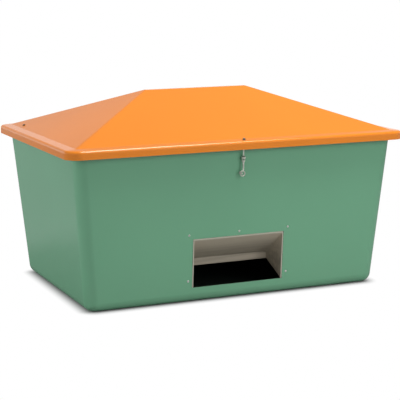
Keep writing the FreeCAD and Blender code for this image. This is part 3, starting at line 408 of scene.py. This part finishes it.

# %% [markdown]
# ## Steel and rubber
# The fittings are stainless or zinc-plated steel. Rolled and pressed parts keep a faint grain
# and a cloudy brightness, with a few dull spots of dirt. The buffers are moulded rubber.


# %% Steel and rubber
def steel(name, tone, roughness, grain=(30.0, 30.0, 900.0), tone_up_high=None):
    """Metal with a drawn grain, cloudy brightness and a few dull spots.

    A second tone, where one is given, replaces the other one high up, round the lid.
    """
    dirt = colour(96, 88, 76)
    finish = Finish(name)
    cloud = finish.noise(45.0, 4.0, 0.6)
    lines = finish.noise(1.0, 2.0, 0.5, finish.stretched(*grain))
    spot = finish.noise(160.0, 3.0, 0.7).fade(0.62, 0.75)
    toned = finish.mix(cloud.fade(0.35, 0.65), tinted(tone, 0.70), tinted(tone, 1.12))
    if tone_up_high:
        toned = finish.mix(finish.axes()[2].fade(0.60, 0.76), toned, tone_up_high)
    finish.feed("Base Color", finish.mix(spot * 0.35, toned, dirt))
    finish.feed("Metallic", 1.0 - spot * 0.25)
    finish.feed("Roughness", roughness + cloud * 0.12 + lines * 0.08 + spot * 0.2)
    finish.bump(lines * 0.00002 + cloud * 0.00003)
    return finish.material


def moulded_rubber(name):
    """Black rubber with a fine matt texture and a little pale dust."""
    finish = Finish(name, ior=1.5)
    cloud = finish.noise(60.0, 4.0, 0.6)
    dusty = finish.mix(cloud.fade(0.5, 0.8) * 0.5, colour(26, 26, 27), colour(62, 60, 58))
    finish.feed("Base Color", dusty)
    finish.feed("Roughness", 0.6 + cloud * 0.25)
    finish.bump(finish.noise(900.0, 2.0, 0.6) * 0.00006)
    return finish.material


finishes = {
    "tub_gelcoat": tub_gelcoat,
    "lid_gelcoat": lid_gelcoat,
    "hood_gelcoat": hood_gelcoat,
    "buffer_rubber": moulded_rubber("buffer_rubber"),
    "hinge_steel": steel("hinge_steel", colour(178, 178, 175), 0.30, grain=(900.0, 30.0, 30.0)),
    "catch_steel": steel("catch_steel", colour(228, 226, 216), 0.22),
    "prop_steel": steel("prop_steel", colour(170, 172, 172), 0.36),
    # Fastener steel is darker high up, round the lid.
    "fastener_steel": steel("fastener_steel", colour(236, 235, 230), 0.24, tone_up_high=colour(128, 121, 110)),
}
print("finishes:", sorted(finishes))

# %% [markdown]
# ## Dress the CAD nodes
# Every node of the frame already names its finish in the record, so one loop dresses them.
# The solids are exact, but their mesh is made of flat triangles. Smooth shading would smear
# the light across the edges, so the mesh keeps its own normals.

# %% Dress the CAD nodes
slots = {part["node"]: part["material_slot"] for part in frame["record"]["subparts"]}
bodies = {node: body for body, nodes in frame["record"]["behaviour"]["bodies"].items() for node in nodes}
for name, node in frame["nodes"].items():
    node.data.materials.clear()
    node.data.materials.append(finishes[slots[name]])
print("dressed", len(slots), "nodes")

# %% [markdown]
# ## Surfaces from rows of points
# Nuts, bolts, pins and rings are all rows of points joined into a skin. A turned part is a
# profile carried round an axis, so each row holds one radius and one height. Where the radius
# also depends on the angle, the same function makes hexagons and screw threads.
# Everything is drawn in millimetres on the local z axis, and then put in its place in metres.

# %% Turned rows
full_turn = 2.0 * math.pi
columns = 48
angles = np.linspace(0.0, full_turn, columns, endpoint=False)


def turned(radii, heights):
    """Rows of points (r cos a, r sin a, h), with a running once round each row."""
    radii, heights = (np.asarray(part, dtype=float) for part in (radii, heights))
    radii = radii[:, None] if radii.ndim == 1 else radii
    heights = heights[:, None] if heights.ndim == 1 else heights
    across = np.broadcast_arrays(radii * np.cos(angles), radii * np.sin(angles), heights)
    return np.stack(across, axis=-1)


def filled(rows):
    """Give every row one number per column, whether it came as one number or as many."""
    return np.array([np.broadcast_to(row, columns) for row in rows])


def hexagon_radius(flats):
    """Distance from the middle to a hexagon's side: flats / 2 / cos(angle from its middle)."""
    sixth = full_turn / 6.0
    from_middle = (angles + sixth) % sixth - sixth / 2.0
    return flats / 2.0 / np.cos(from_middle)


print("a washer's row:", turned([4.05], [0.0]).shape)


# %% Skins
def skin(rows, ring=False):
    """Join rows by quads. Each row closes on itself; so do the rows if they form a ring.

    Otherwise a fan of triangles to the middle of the row shuts each end. The volume is the
    sum of a . (b x c) / 6 over the triangles, and where it is negative all faces turn over.
    """
    count = rows.shape[0]
    index = np.arange(count * rows.shape[1]).reshape(count, -1)
    points = rows.reshape(-1, 3)
    if ring:
        index = np.vstack([index, index[:1]])
    beside = np.roll(index, -1, axis=1)
    quads = np.stack([index[:-1], beside[:-1], beside[1:], index[1:]], axis=-1).reshape(-1, 4)
    fans = np.empty((0, 3), dtype=int)
    if not ring:
        poles = np.full_like(index[0], len(points))
        first = np.stack([poles, beside[0], index[0]], axis=-1)
        last = np.stack([poles + 1, index[-1], beside[-1]], axis=-1)
        fans = np.vstack([first, last])
        points = np.vstack([points, rows[0].mean(axis=0), rows[-1].mean(axis=0)])
    corners = points[np.vstack([quads[:, [0, 1, 2]], quads[:, [0, 2, 3]], fans])]
    volume = np.einsum("ij,ij->", corners[:, 0], np.cross(corners[:, 1], corners[:, 2])) / 6.0
    if volume < 0.0:
        quads, fans = quads[:, ::-1], fans[:, ::-1]
    return points, quads, fans


def placed(shell, origin, axis=None):
    """Move a skin to an origin, in metres. With an axis, its z axis turns to that one first."""
    turn = np.eye(3)
    if axis:
        turn = np.array(Vector(axis).to_track_quat("Z", "Y").to_matrix())
    points, quads, fans = shell
    return (points @ turn.T + np.array(origin)) * 0.001, quads, fans


print("a turned ball's skin:", len(skin(turned([1.0, 2.0, 1.0], [0.0, 1.0, 2.0]))[0]), "points")

# %% [markdown]
# A piece is one object made of a few skins. Its points are already in their places, so the
# object itself stays at the origin. It moves with the body of the node that it stands for and
# takes over that node's finish, and edges sharper than 35 degrees stay crisp.


# %% Pieces
def piece(name, shells, *nodes, beside=None):
    """Make one object of some skins; it rides and is finished as the CAD nodes it stands for.

    A piece that stands for no node goes with the node beside it.
    """
    owner = nodes[0] if nodes else beside
    starts = np.cumsum([0] + [len(points) for points, _, _ in shells])
    points = np.vstack([points for points, _, _ in shells])
    quads = np.vstack([part[1] + start for part, start in zip(shells, starts)])
    fans = np.vstack([part[2] + start for part, start in zip(shells, starts)])
    mesh = bpy.data.meshes.new(name)
    mesh.from_pydata(points, [], quads.tolist() + fans.tolist())
    mesh.shade_smooth()
    mesh.set_sharp_from_angle(angle=math.radians(35.0))
    made = bpy.data.objects.new(name, mesh)
    bpy.context.scene.collection.objects.link(made)
    mesh.materials.append(finishes[slots[owner]])
    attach(made, bodies[owner])
    if nodes:
        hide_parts(*nodes)
    print(name, len(points), "points")


# %% [markdown]
# ## Sizes of nuts, bolts and washers
# Fasteners come in standard metric sizes, and this bin has two of them. All lengths that
# belong to a size are kept together, so a nut and its bolt can't disagree.

# %% Metric sizes
Metric = namedtuple("Metric", "shank bore flats nut_height head_height pitch washer_radius")
m6 = Metric(3.0, 3.05, 10.0, 5.0, 3.6, 1.0, 8.0)
m8 = Metric(4.0, 4.05, 13.0, 6.5, 5.3, 1.25, 10.0)
washer_thickness = 1.6
face_share = 0.475
chamfer = math.tan(math.radians(30.0))
print(m6)
print(m8)

# %% [markdown]
# ## Nuts and washers
# A nut is sliced from a hexagonal bar, and then both ends are turned to a cone of 30 degrees.
# Where the cone meets the six flat sides it leaves the curved edges that everyone knows: the
# corner drops by the distance past the cone's start times the cone's slope.
# A washer is stamped from sheet, which rounds its outer edges.


# %% Nuts and washers
def nut(size, top):
    """A closed ring of rows: bore, face, cone, six sides, cone, face and back to the bore."""
    sides = hexagon_radius(size.flats)
    face = size.flats * face_share
    drop = (sides - face) * chamfer
    edge = 0.5
    bore, height = size.bore, size.nut_height
    radii = [bore, bore + edge, face, sides, sides, face, bore + edge, bore]
    heights = [edge, 0.0, 0.0, drop, height - drop, height, height, height - edge]
    return skin(turned(filled(radii), filled(heights) + top - height), ring=True)


def washer(size, top):
    """A flat ring whose outer edges are rounded off, as stamping leaves them."""
    radius, rounding = size.washer_radius, 0.35
    radii = [size.bore, radius - rounding, radius, radius, radius - rounding, size.bore]
    heights = [0.0, 0.0, rounding, washer_thickness - rounding, washer_thickness, washer_thickness]
    return skin(turned(radii, np.array(heights) + top - washer_thickness), ring=True)


print("an M8 nut:", len(nut(m8, 0.0)[0]), "points")

# %% [markdown]
# ## Bolts and screws
# A thread is a triangle wave that climbs by one pitch in one turn. Only the last part of each
# shank shows past its nut, so only that part is threaded. The bolts on the hinges have
# hexagonal heads. The five screws round the opening have low domed heads with a plain hexagon
# socket, so that nothing catches a shovel.


# %% Bolts and screws
def threaded_end(size, end, turns):
    """Rows of a shank whose radius falls below its crest by depth times a triangle wave of
    height over pitch less angle over one turn, and a blunt point at the end."""
    start = end + turns * size.pitch
    heights = np.linspace(start, end + 0.6, 6 * turns)
    around = np.arange(columns) / columns
    wave = np.abs((heights[:, None] / size.pitch - around[None, :]) % 1.0 - 0.5) * 2.0
    rising = np.clip((start - heights) / size.pitch, 0.0, 1.0)[:, None]
    radii = size.shank - 0.55 * size.pitch * wave * rising
    point = np.full((1, columns), size.shank - 0.75 * size.pitch)
    return np.vstack([radii, point]), np.append(heights, end)


def fastener(size, head_radii, head_heights, end, turns):
    """A head's profile from its crown down to the shank, then the shank and its thread."""
    shank, down = threaded_end(size, end, turns)
    radii = np.vstack([filled([*head_radii, size.shank]), shank])
    return skin(turned(radii, np.vstack([filled(head_heights), filled(down)])))


def hexagon_bolt(size, seat, end, turns=9):
    """Chamfered head with a thin round washer face below it."""
    sides = hexagon_radius(size.flats)
    face = size.flats * face_share
    drop = (sides - face) * chamfer
    top, under = seat + size.head_height, seat + 0.4
    radii = [face * 0.55, face * 0.62, face, sides, sides, face, face]
    heights = [top - 0.35, top, top, top - drop, under, under, seat, seat]
    return fastener(size, radii, heights, end, turns)


def domed_screw(size, end, turns=14):
    """Dome r = radius sin t, h = height cos t, with a hexagon socket sunk into its crown."""
    radius, height = 6.0, 3.5
    socket, socket_depth = hexagon_radius(4.0), 2.4
    slope = np.linspace(0.42, 1.5, 7)
    dome, domed_heights = radius * np.sin(slope), height * np.cos(slope) + 0.1
    bottom, brim = height - socket_depth, domed_heights[0]
    radii = [socket * 0.96, socket, socket, *dome, radius, radius - 0.3]
    heights = [bottom, bottom, brim, *domed_heights, 0.3, 0.0, 0.0]
    return fastener(size, radii, heights, end, turns)


print("a hexagon bolt:", len(hexagon_bolt(m8, 4.0, -16.6)[0]), "points")

# %% [markdown]
# ## Where the fasteners go
# Every fastener stands square to the surface that it goes through. On the leaning walls a
# place is given across the wall and up along it, on the lid by the slopes of its panels.

# %% Places on the walls and the lid
wall_up, wall_out = math.cos(lean_angle), math.sin(lean_angle)
half_depth = half_width * 1000.0


def on_wall(across, up, side):
    """A point of the front (-1) or rear (1) outer wall, and the direction straight out of it."""
    point = (across, side * (half_depth + up * wall_out), up * wall_up)
    return point, (0.0, side * wall_up, -wall_out)


hood_half_span, hood_high, hood_low = 274.5, 352.5, 113.0
hood_spots = [(x, hood_high) for x in (-hood_half_span, 0.0, hood_half_span)]
hood_spots += [(x, hood_low) for x in (hood_half_span, -hood_half_span)]
hood_places = [on_wall(x, up, -1) for x, up in hood_spots]
hinges = {"left": -560.0, "right": 560.0}
bracket_across = [middle + x for middle in hinges.values() for x in (-30.0, 30.0)]
bracket_places = [on_wall(x, up, 1) for x in bracket_across for up in (672.0, 722.0)]
leaf_across = [middle + x for middle in hinges.values() for x in (-38.0, 0.0, 38.0)]
leaf_places = [((x, 636.0, 790.0), (0.0, 1.0, 0.0)) for x in leaf_across]
ring_across = -5.0
stud_place = on_wall(ring_across, 655.94, -1)
border_angle, roof_angle = math.atan(border_slope), math.atan(end_slope)
eye_place = ((0.0, -608.0, 821.414), (0.0, -math.sin(border_angle), math.cos(border_angle)))
prop_place = ((-838.0, 396.0, 832.827), (-math.sin(roof_angle), 0.0, math.cos(roof_angle)))
print("hood screws stand", round(hood_places[0][0][2]), "and", round(hood_places[3][0][2]), "mm up")

# %% [markdown]
# Behind each surface follow a washer and a nut, so their places are given by what the bolt
# grips: the wall, the wall and the hood's flange, the lid's skirt, or the lid and a bracket.


# %% Fit the fasteners
def fitted(name, shell, places, node):
    """Put the same skin in every place, as one piece that stands for a node."""
    piece(name, [placed(shell, *place) for place in places], node)


wall_grip, hood_grip, leaf_grip = 6.0, 11.0, 5.0
lid_wall, prop_plate = 5.0, 3.0
eye_grip = lid_wall * math.cos(border_angle)
prop_grip = lid_wall * math.cos(roof_angle) + prop_plate

fitted("hood_screws_domed", domed_screw(m6, -20.1), hood_places, "hood_screws")
fitted("hood_washers_round", washer(m6, -hood_grip), hood_places, "hood_washers")
fitted("hood_nuts_hexagon", nut(m6, -hood_grip - washer_thickness), hood_places, "hood_nuts")
fitted("bracket_bolts_hexagon", hexagon_bolt(m8, 4.0, -16.6), bracket_places, "bracket_bolts")
fitted("bracket_washers_round", washer(m8, -wall_grip), bracket_places, "bracket_washers")
fitted("bracket_nuts_hexagon", nut(m8, -wall_grip - washer_thickness), bracket_places, "bracket_nuts")
fitted("leaf_bolts_hexagon", hexagon_bolt(m6, 3.0, -14.1), leaf_places, "leaf_bolts")
fitted("leaf_washers_round", washer(m6, -leaf_grip), leaf_places, "leaf_washers")
fitted("leaf_nuts_hexagon", nut(m6, -leaf_grip - washer_thickness), leaf_places, "leaf_nuts")
fitted("stud_washer_round", washer(m8, -wall_grip), [stud_place], "catch_stud_washer")
fitted("stud_nut_hexagon", nut(m8, -wall_grip - washer_thickness), [stud_place], "catch_stud_nut")
prop_bolt = hexagon_bolt(m8, 0.0, -prop_grip - 10.6, turns=7)
fitted("prop_bolt_hexagon", prop_bolt, [prop_place], "prop_bracket_bolt")
fitted("prop_washer_round", washer(m8, -prop_grip), [prop_place], "prop_bracket_washer")
fitted("prop_nut_hexagon", nut(m8, -prop_grip - washer_thickness), [prop_place], "prop_bracket_nut")
lid_washers = [placed(washer(m8, top), *eye_place) for top in (washer_thickness, -eye_grip)]
piece("catch_washers_round", lid_washers, "catch_washers")
nut_tops = (washer_thickness + m8.nut_height, -eye_grip - washer_thickness)
piece("catch_nuts_hexagon", [placed(nut(m8, top), *eye_place) for top in nut_tops], "catch_nuts")

# %% [markdown]
# ## The pins
# The hinge pins, the catch's pin and the prop's pin are rivets: plain rods whose ends were
# hammered into shallow domes. Each lies level, along x.

# %% Pins
along = (1.0, 0.0, 0.0)


def rivet(shank, head, height, start, end):
    """A pin whose two heads are shallow domes."""
    slope = np.linspace(0.15, 0.5 * math.pi, 7)
    radii, domes = head * np.sin(slope), (height - 0.5) * np.cos(slope)
    radii = [*radii, head, shank, shank, head, *radii[::-1]]
    heights = [*(start - 0.5 - domes), start, start, end, end, *(end + 0.5 + domes[::-1])]
    return skin(turned(radii, heights))


hinge_rivet = rivet(shank=4.0, head=6.0, height=2.0, start=-55.0, end=55.0)
for side, middle in hinges.items():
    piece(f"hinge_rivet_{side}", [placed(hinge_rivet, (middle, 643.5, 768.0), along)], f"hinge_pin_{side}")
pivot = (0.0, -600.357, 732.743)
catch_rivet = rivet(shank=4.0, head=6.5, height=2.5, start=-8.9, end=8.9)
piece("catch_rivet", [placed(catch_rivet, pivot, along)], "catch_pin")
prop_rivet = rivet(shank=4.0, head=7.0, height=2.5, start=-809.0, end=-794.2)
piece("prop_rivet", [placed(prop_rivet, (0.0, 396.0, 792.0), along)], "prop_pin")

# %% [markdown]
# ## The eye bolt and the link
# Both are drop forgings, so nothing on them is square: their sections are rounded, and a
# thick place grows out of a thin one in a soft neck. A superellipse gives such a section:
# |x / a| to a power plus |y / b| to the same power is 1. A power of 2 is an ellipse, and
# towards 4 it fills out to a rounded rectangle.


# %% Rounded sections
def rounded_section(half_wide, half_deep, power):
    """Points of a superellipse: x = a sgn(cos t) |cos t|^(2/power), and y with sin t."""
    sine, cosine = np.sin(angles), np.cos(angles)
    wide = half_wide * np.sign(cosine) * np.abs(cosine) ** (2.0 / power)
    deep = half_deep * np.sign(sine) * np.abs(sine) ** (2.0 / power)
    return np.stack([wide, deep], axis=-1)


def ring_of(section, radius):
    """Carry a section (outwards, along the axis) round a circle about z, as a closed ring."""
    angle = np.linspace(0.0, full_turn, 60, endpoint=False)[:, None]
    outwards, along_axis = radius + section[None, :, 0], section[None, :, 1]
    axes = np.broadcast_arrays(outwards * np.cos(angle), outwards * np.sin(angle), along_axis)
    return skin(np.stack(axes, axis=-1), ring=True)


def drawn_out(stations, power=3.0):
    """Rows of superellipses down a line; a station gives height, x, half width, half depth."""
    heights, middles, wides, deeps = np.array(stations, dtype=float).T[:, :, None]
    unit = rounded_section(1.0, 1.0, power)
    across = wides * unit[None, :, 0] + middles
    through = deeps * unit[None, :, 1]
    return skin(np.stack([across, through, np.broadcast_to(heights, across.shape)], axis=-1))


print("a forged ring:", len(ring_of(rounded_section(3.0, 3.0, 3.0), 12.5)[0]), "points")

# %% [markdown]
# The eye bolt hangs through the lid's border. Its thread ends in a neck that grows wider and
# deeper until it meets the eye, and the link's pin goes through the eye.

# %% Eye bolt
upside_down = np.array([1.0, 1.0, -1.0])
thread = skin(turned(*threaded_end(m8, -11.0, 26)) * upside_down)
neck = drawn_out([
    (-20.0, 0.0, 3.9, 3.9),
    (-24.0, 0.0, 3.0, 3.0),
    (-68.0, 0.0, 3.0, 3.0),
    (-75.0, 0.0, 3.8, 4.4),
    (-80.0, 0.0, 4.4, 6.4),
    (-84.0, 0.0, 4.4, 7.5),
], power=2.3)
eye = ring_of(rounded_section(3.45, 4.5, 3.2), 7.5)
eye_shells = [placed(thread, *eye_place), placed(neck, *eye_place), placed(eye, pivot, along)]
piece("catch_eye_forged", eye_shells, "catch_eye_bolt")

# %% [markdown]
# The link's fork has a lug on each side of the eye. Two arms lead from the lugs to a bridge,
# which thins to a shank, and the shank ends in the ring that goes over the stud.

# %% Link
lug = ring_of(rounded_section(2.0, 2.0, 3.0), 6.0)
fork = [placed(lug, (side * 6.9, pivot[1], pivot[2]), along) for side in (-1.0, 1.0)]
arm_stations = np.array([
    (-3.0, 6.9, 1.9, 7.3),
    (-9.0, 6.9, 2.0, 5.6),
    (-15.0, 6.6, 2.1, 4.0),
    (-19.0, 5.6, 2.4, 3.4),
    (-23.0, 3.0, 2.6, 3.2),
])
other_side = np.array([1.0, -1.0, 1.0, 1.0])
arms = [placed(drawn_out(arm_stations * side, power=3.4), pivot) for side in (1.0, other_side)]
bridge = placed(drawn_out([
    (-14.5, 0.0, 6.8, 3.1),
    (-16.0, 0.0, 8.2, 3.6),
    (-19.0, 0.0, 8.0, 3.6),
    (-22.5, 0.0, 5.6, 3.2),
    (-27.0, 0.0, 4.2, 3.0),
    (-50.0, 0.0, 3.8, 2.9),
    (-62.0, -0.5, 3.9, 2.9),
    (-70.0, -1.5, 3.4, 2.8),
]), pivot)
ring_middle = (ring_across, pivot[1], pivot[2] - 80.0)
link_ring = placed(ring_of(rounded_section(3.0, 3.0, 2.6), 12.5), ring_middle, (0.0, 1.0, 0.0))
piece("catch_link_forged", [*fork, *arms, bridge, link_ring], "catch_link")

# %% [markdown]
# ## Rubber buffers
# Each buffer is one moulding: a round pad, a stem pressed through the rim and a barbed foot
# below it. The pad has a shallow dish on top and a groove round its side, which let it give.

# %% Buffers
rim_top = 808.0
pad_radii = [3.0, 6.5, 8.4, 9.6, 10.0, 10.0, 9.3, 9.3, 10.0, 10.0, 3.0, 3.0, 4.5, 4.4, 2.6]
pad_heights = [6.6, 6.8, 7.44, 7.2, 6.4, 4.6, 4.2, 3.4, 3.0, 0.0, 0.0, -6.0, -6.0, -6.8, -9.0]
buffer = skin(turned(pad_radii, pad_heights))
buffer_spots = [(-400, -604.63), (400, -604.63), (-250, 604.63), (250, 604.63), (-888.63, 0), (888.63, 0)]
piece("rim_buffers_moulded", [placed(buffer, (x, y, rim_top)) for x, y in buffer_spots], "rim_buffers")

# %% [markdown]
# ## The hood's lip in the opening
# The hood is bolted on from inside. Its own walls turn forwards through the cut-out and end
# level with the front, so from outside they are a thin pale line round the top and the two
# sides, with a dark gap of about three millimetres to the green. The sill below has none.
# One section is carried along the opening. A point of the section that lies further out
# follows a path with a larger corner, so the lip stays equally thick round the corners.

# %% Hood lip
half_opening, opening_low, opening_high, opening_corner = 253.0, 77.0, 331.0, 4.0


def mouth_path(offset):
    """Up the left side, round two quarter circles and down the right, this far outside the cut.

    A corner's point is its centre plus the radius times (cos a, sin a).
    """
    side, top = half_opening + offset, opening_high + offset
    radius = max(0.3, opening_corner + offset)
    angle = np.linspace(math.pi, 0.5 * math.pi, 9)
    corner = np.stack([np.cos(angle), np.sin(angle)], axis=-1) * radius + (radius - side, top - radius)
    left = np.vstack([(-side, opening_low + 0.5), corner])
    return np.vstack([left, left[::-1] * (-1.0, 1.0)])


lip_front = [(2.4, -6.3), (-3.2, -6.3), (-3.2, 0.4), (-3.6, 0.8), (-5.1, 0.8), (-5.5, 0.4)]
lip_section = np.vstack([lip_front, np.linspace((-5.5, -6.7), (2.0, -14.0), 14)])
lip_paths = np.stack([mouth_path(offset) for offset in lip_section[:, 0]], axis=1)
lip_across, lip_up = lip_paths[..., 0], lip_paths[..., 1]
out_of_wall = np.broadcast_to(lip_section[:, 1], lip_up.shape)
lip_rows = np.stack([
    lip_across,
    -(half_depth + lip_up * wall_out) - out_of_wall * wall_up,
    lip_up * wall_up - out_of_wall * wall_out,
], axis=-1)
piece("hood_front_lip", [placed(skin(lip_rows), (0.0, 0.0, 0.0))], beside="dispensing_hood")

# %% [markdown]
# ## Floor and light
# A white studio: a floor that the camera sees as white almost up to the bin's foot, where it
# still takes the shadow. Glossy walls mirror it in shade near the foot and white further out.

# %% Floor
white = (1.0, 1.0, 1.0, 1.0)


def studio_floor(half_size, level):
    """A level square that keeps the shadow near the bin's foot and is white further out.

    The camera's rays turn white within a few centimetres of the foot. Rays that were
    reflected turn white more slowly, so the walls mirror a floor in soft shade.
    """
    mesh = bpy.data.meshes.new("floor")
    corners = np.array([[-1, -1], [1, -1], [1, 1], [-1, 1]], dtype=float) * half_size
    mesh.from_pydata([(*corner, level) for corner in corners], [], [(0, 1, 2, 3)])
    made = bpy.data.objects.new("floor", mesh)
    bpy.context.scene.collection.objects.link(made)
    finish = Finish("floor", base_color=(0.35, 0.35, 0.35, 1.0), roughness=0.9)
    x, y, _ = finish.axes()
    away = rounded_corner(abs(x) - half_length, abs(y) - half_width, corner_radius)
    seen = finish.rays("Is Camera Ray") * away.fade(-0.04, 0.05)
    mirrored = finish.rays("Is Glossy Ray", "Is Transmission Ray") * away.fade(2.0, 14.0)
    matt = Wire(finish, finish.shader.outputs[0])
    glowing = finish.node("ShaderNodeEmission", (), {"Color": white})
    blend = finish.node("ShaderNodeMixShader", (), {0: seen.at_least(mirrored), 1: matt, 2: glowing})
    finish.join(blend, finish.output.inputs["Surface"])
    mesh.materials.append(finish.material)


studio_floor(14.0, -0.0005)
print("floor ready")

# %% [markdown]
# The sky is a plain pale grey that lights the bin evenly. The camera sees it as white. Gloss
# sees it white at the horizon and plain grey higher up, as in a white room with a high
# ceiling, so a slope at a shallow angle shows a pale sheen and a steep one keeps its colour.

# %% Sky
world = bpy.data.worlds.new("studio")
bpy.context.scene.world = world
world.use_nodes = True
sky = Nodes(world.node_tree)
plain_level = 0.28
direction = sky.node("ShaderNodeTexCoord", out="Generated")
height = sky.node("ShaderNodeSeparateXYZ", (), {0: direction}, out="Z")
horizon = height.fade(0.0, 0.42, 1.0, 0.0)
glow = sky.rays("Is Glossy Ray", "Is Transmission Ray") * horizon
share = sky.rays("Is Camera Ray").at_least(glow)
plain = sky.node("ShaderNodeBackground", (), {"Color": white, "Strength": plain_level})
bright = sky.node("ShaderNodeBackground", (), {"Color": white, "Strength": 1.0})
mixed = sky.node("ShaderNodeMixShader", (), {0: share, 1: plain, 2: bright})
sky_output = sky.tree.nodes.new("ShaderNodeOutputWorld")
sky.join(mixed, sky_output.inputs["Surface"])
print("sky:", len(sky.tree.nodes), "nodes")

# %% [markdown]
# Broad lamps light the bin from above and from in front, so that the slopes of the lid and
# the walls differ, and two low weaker ones light the left and the rear wall. A low lamp would
# show as a white patch in a slope seen at a shallow angle, so gloss mirrors only the high one.


# %% Lamps
def lamp(name, place, target, width, height, power, mirrored):
    """A soft rectangular lamp at a place, facing a target. Gloss may be kept from showing it."""
    light = bpy.data.lights.new(name, "AREA")
    light.shape, light.size, light.size_y, light.energy = "RECTANGLE", width, height, power
    made = bpy.data.objects.new(name, light)
    bpy.context.scene.collection.objects.link(made)
    made.location = place
    made.rotation_euler = (Vector(target) - Vector(place)).to_track_quat("-Z", "Y").to_euler()
    made.visible_camera = False
    made.visible_glossy = mirrored


lamp("overhead", (0.9, -1.3, 5.0), (0.0, 0.0, 0.5), 2.2, 2.2, power=225.0, mirrored=True)
lamp("front", (1.3, -5.0, 2.2), (0.0, 0.0, 0.6), 2.8, 2.2, power=84.0, mirrored=False)
lamp("left", (-4.2, 0.5, 1.0), (-0.9, -0.1, 0.55), 1.1, 1.8, power=60.0, mirrored=False)
lamp("rear", (0.5, 5.0, 0.9), (0.0, 0.5, 0.6), 2.6, 1.6, power=70.0, mirrored=False)
bpy.context.scene.view_settings.view_transform = "Standard"
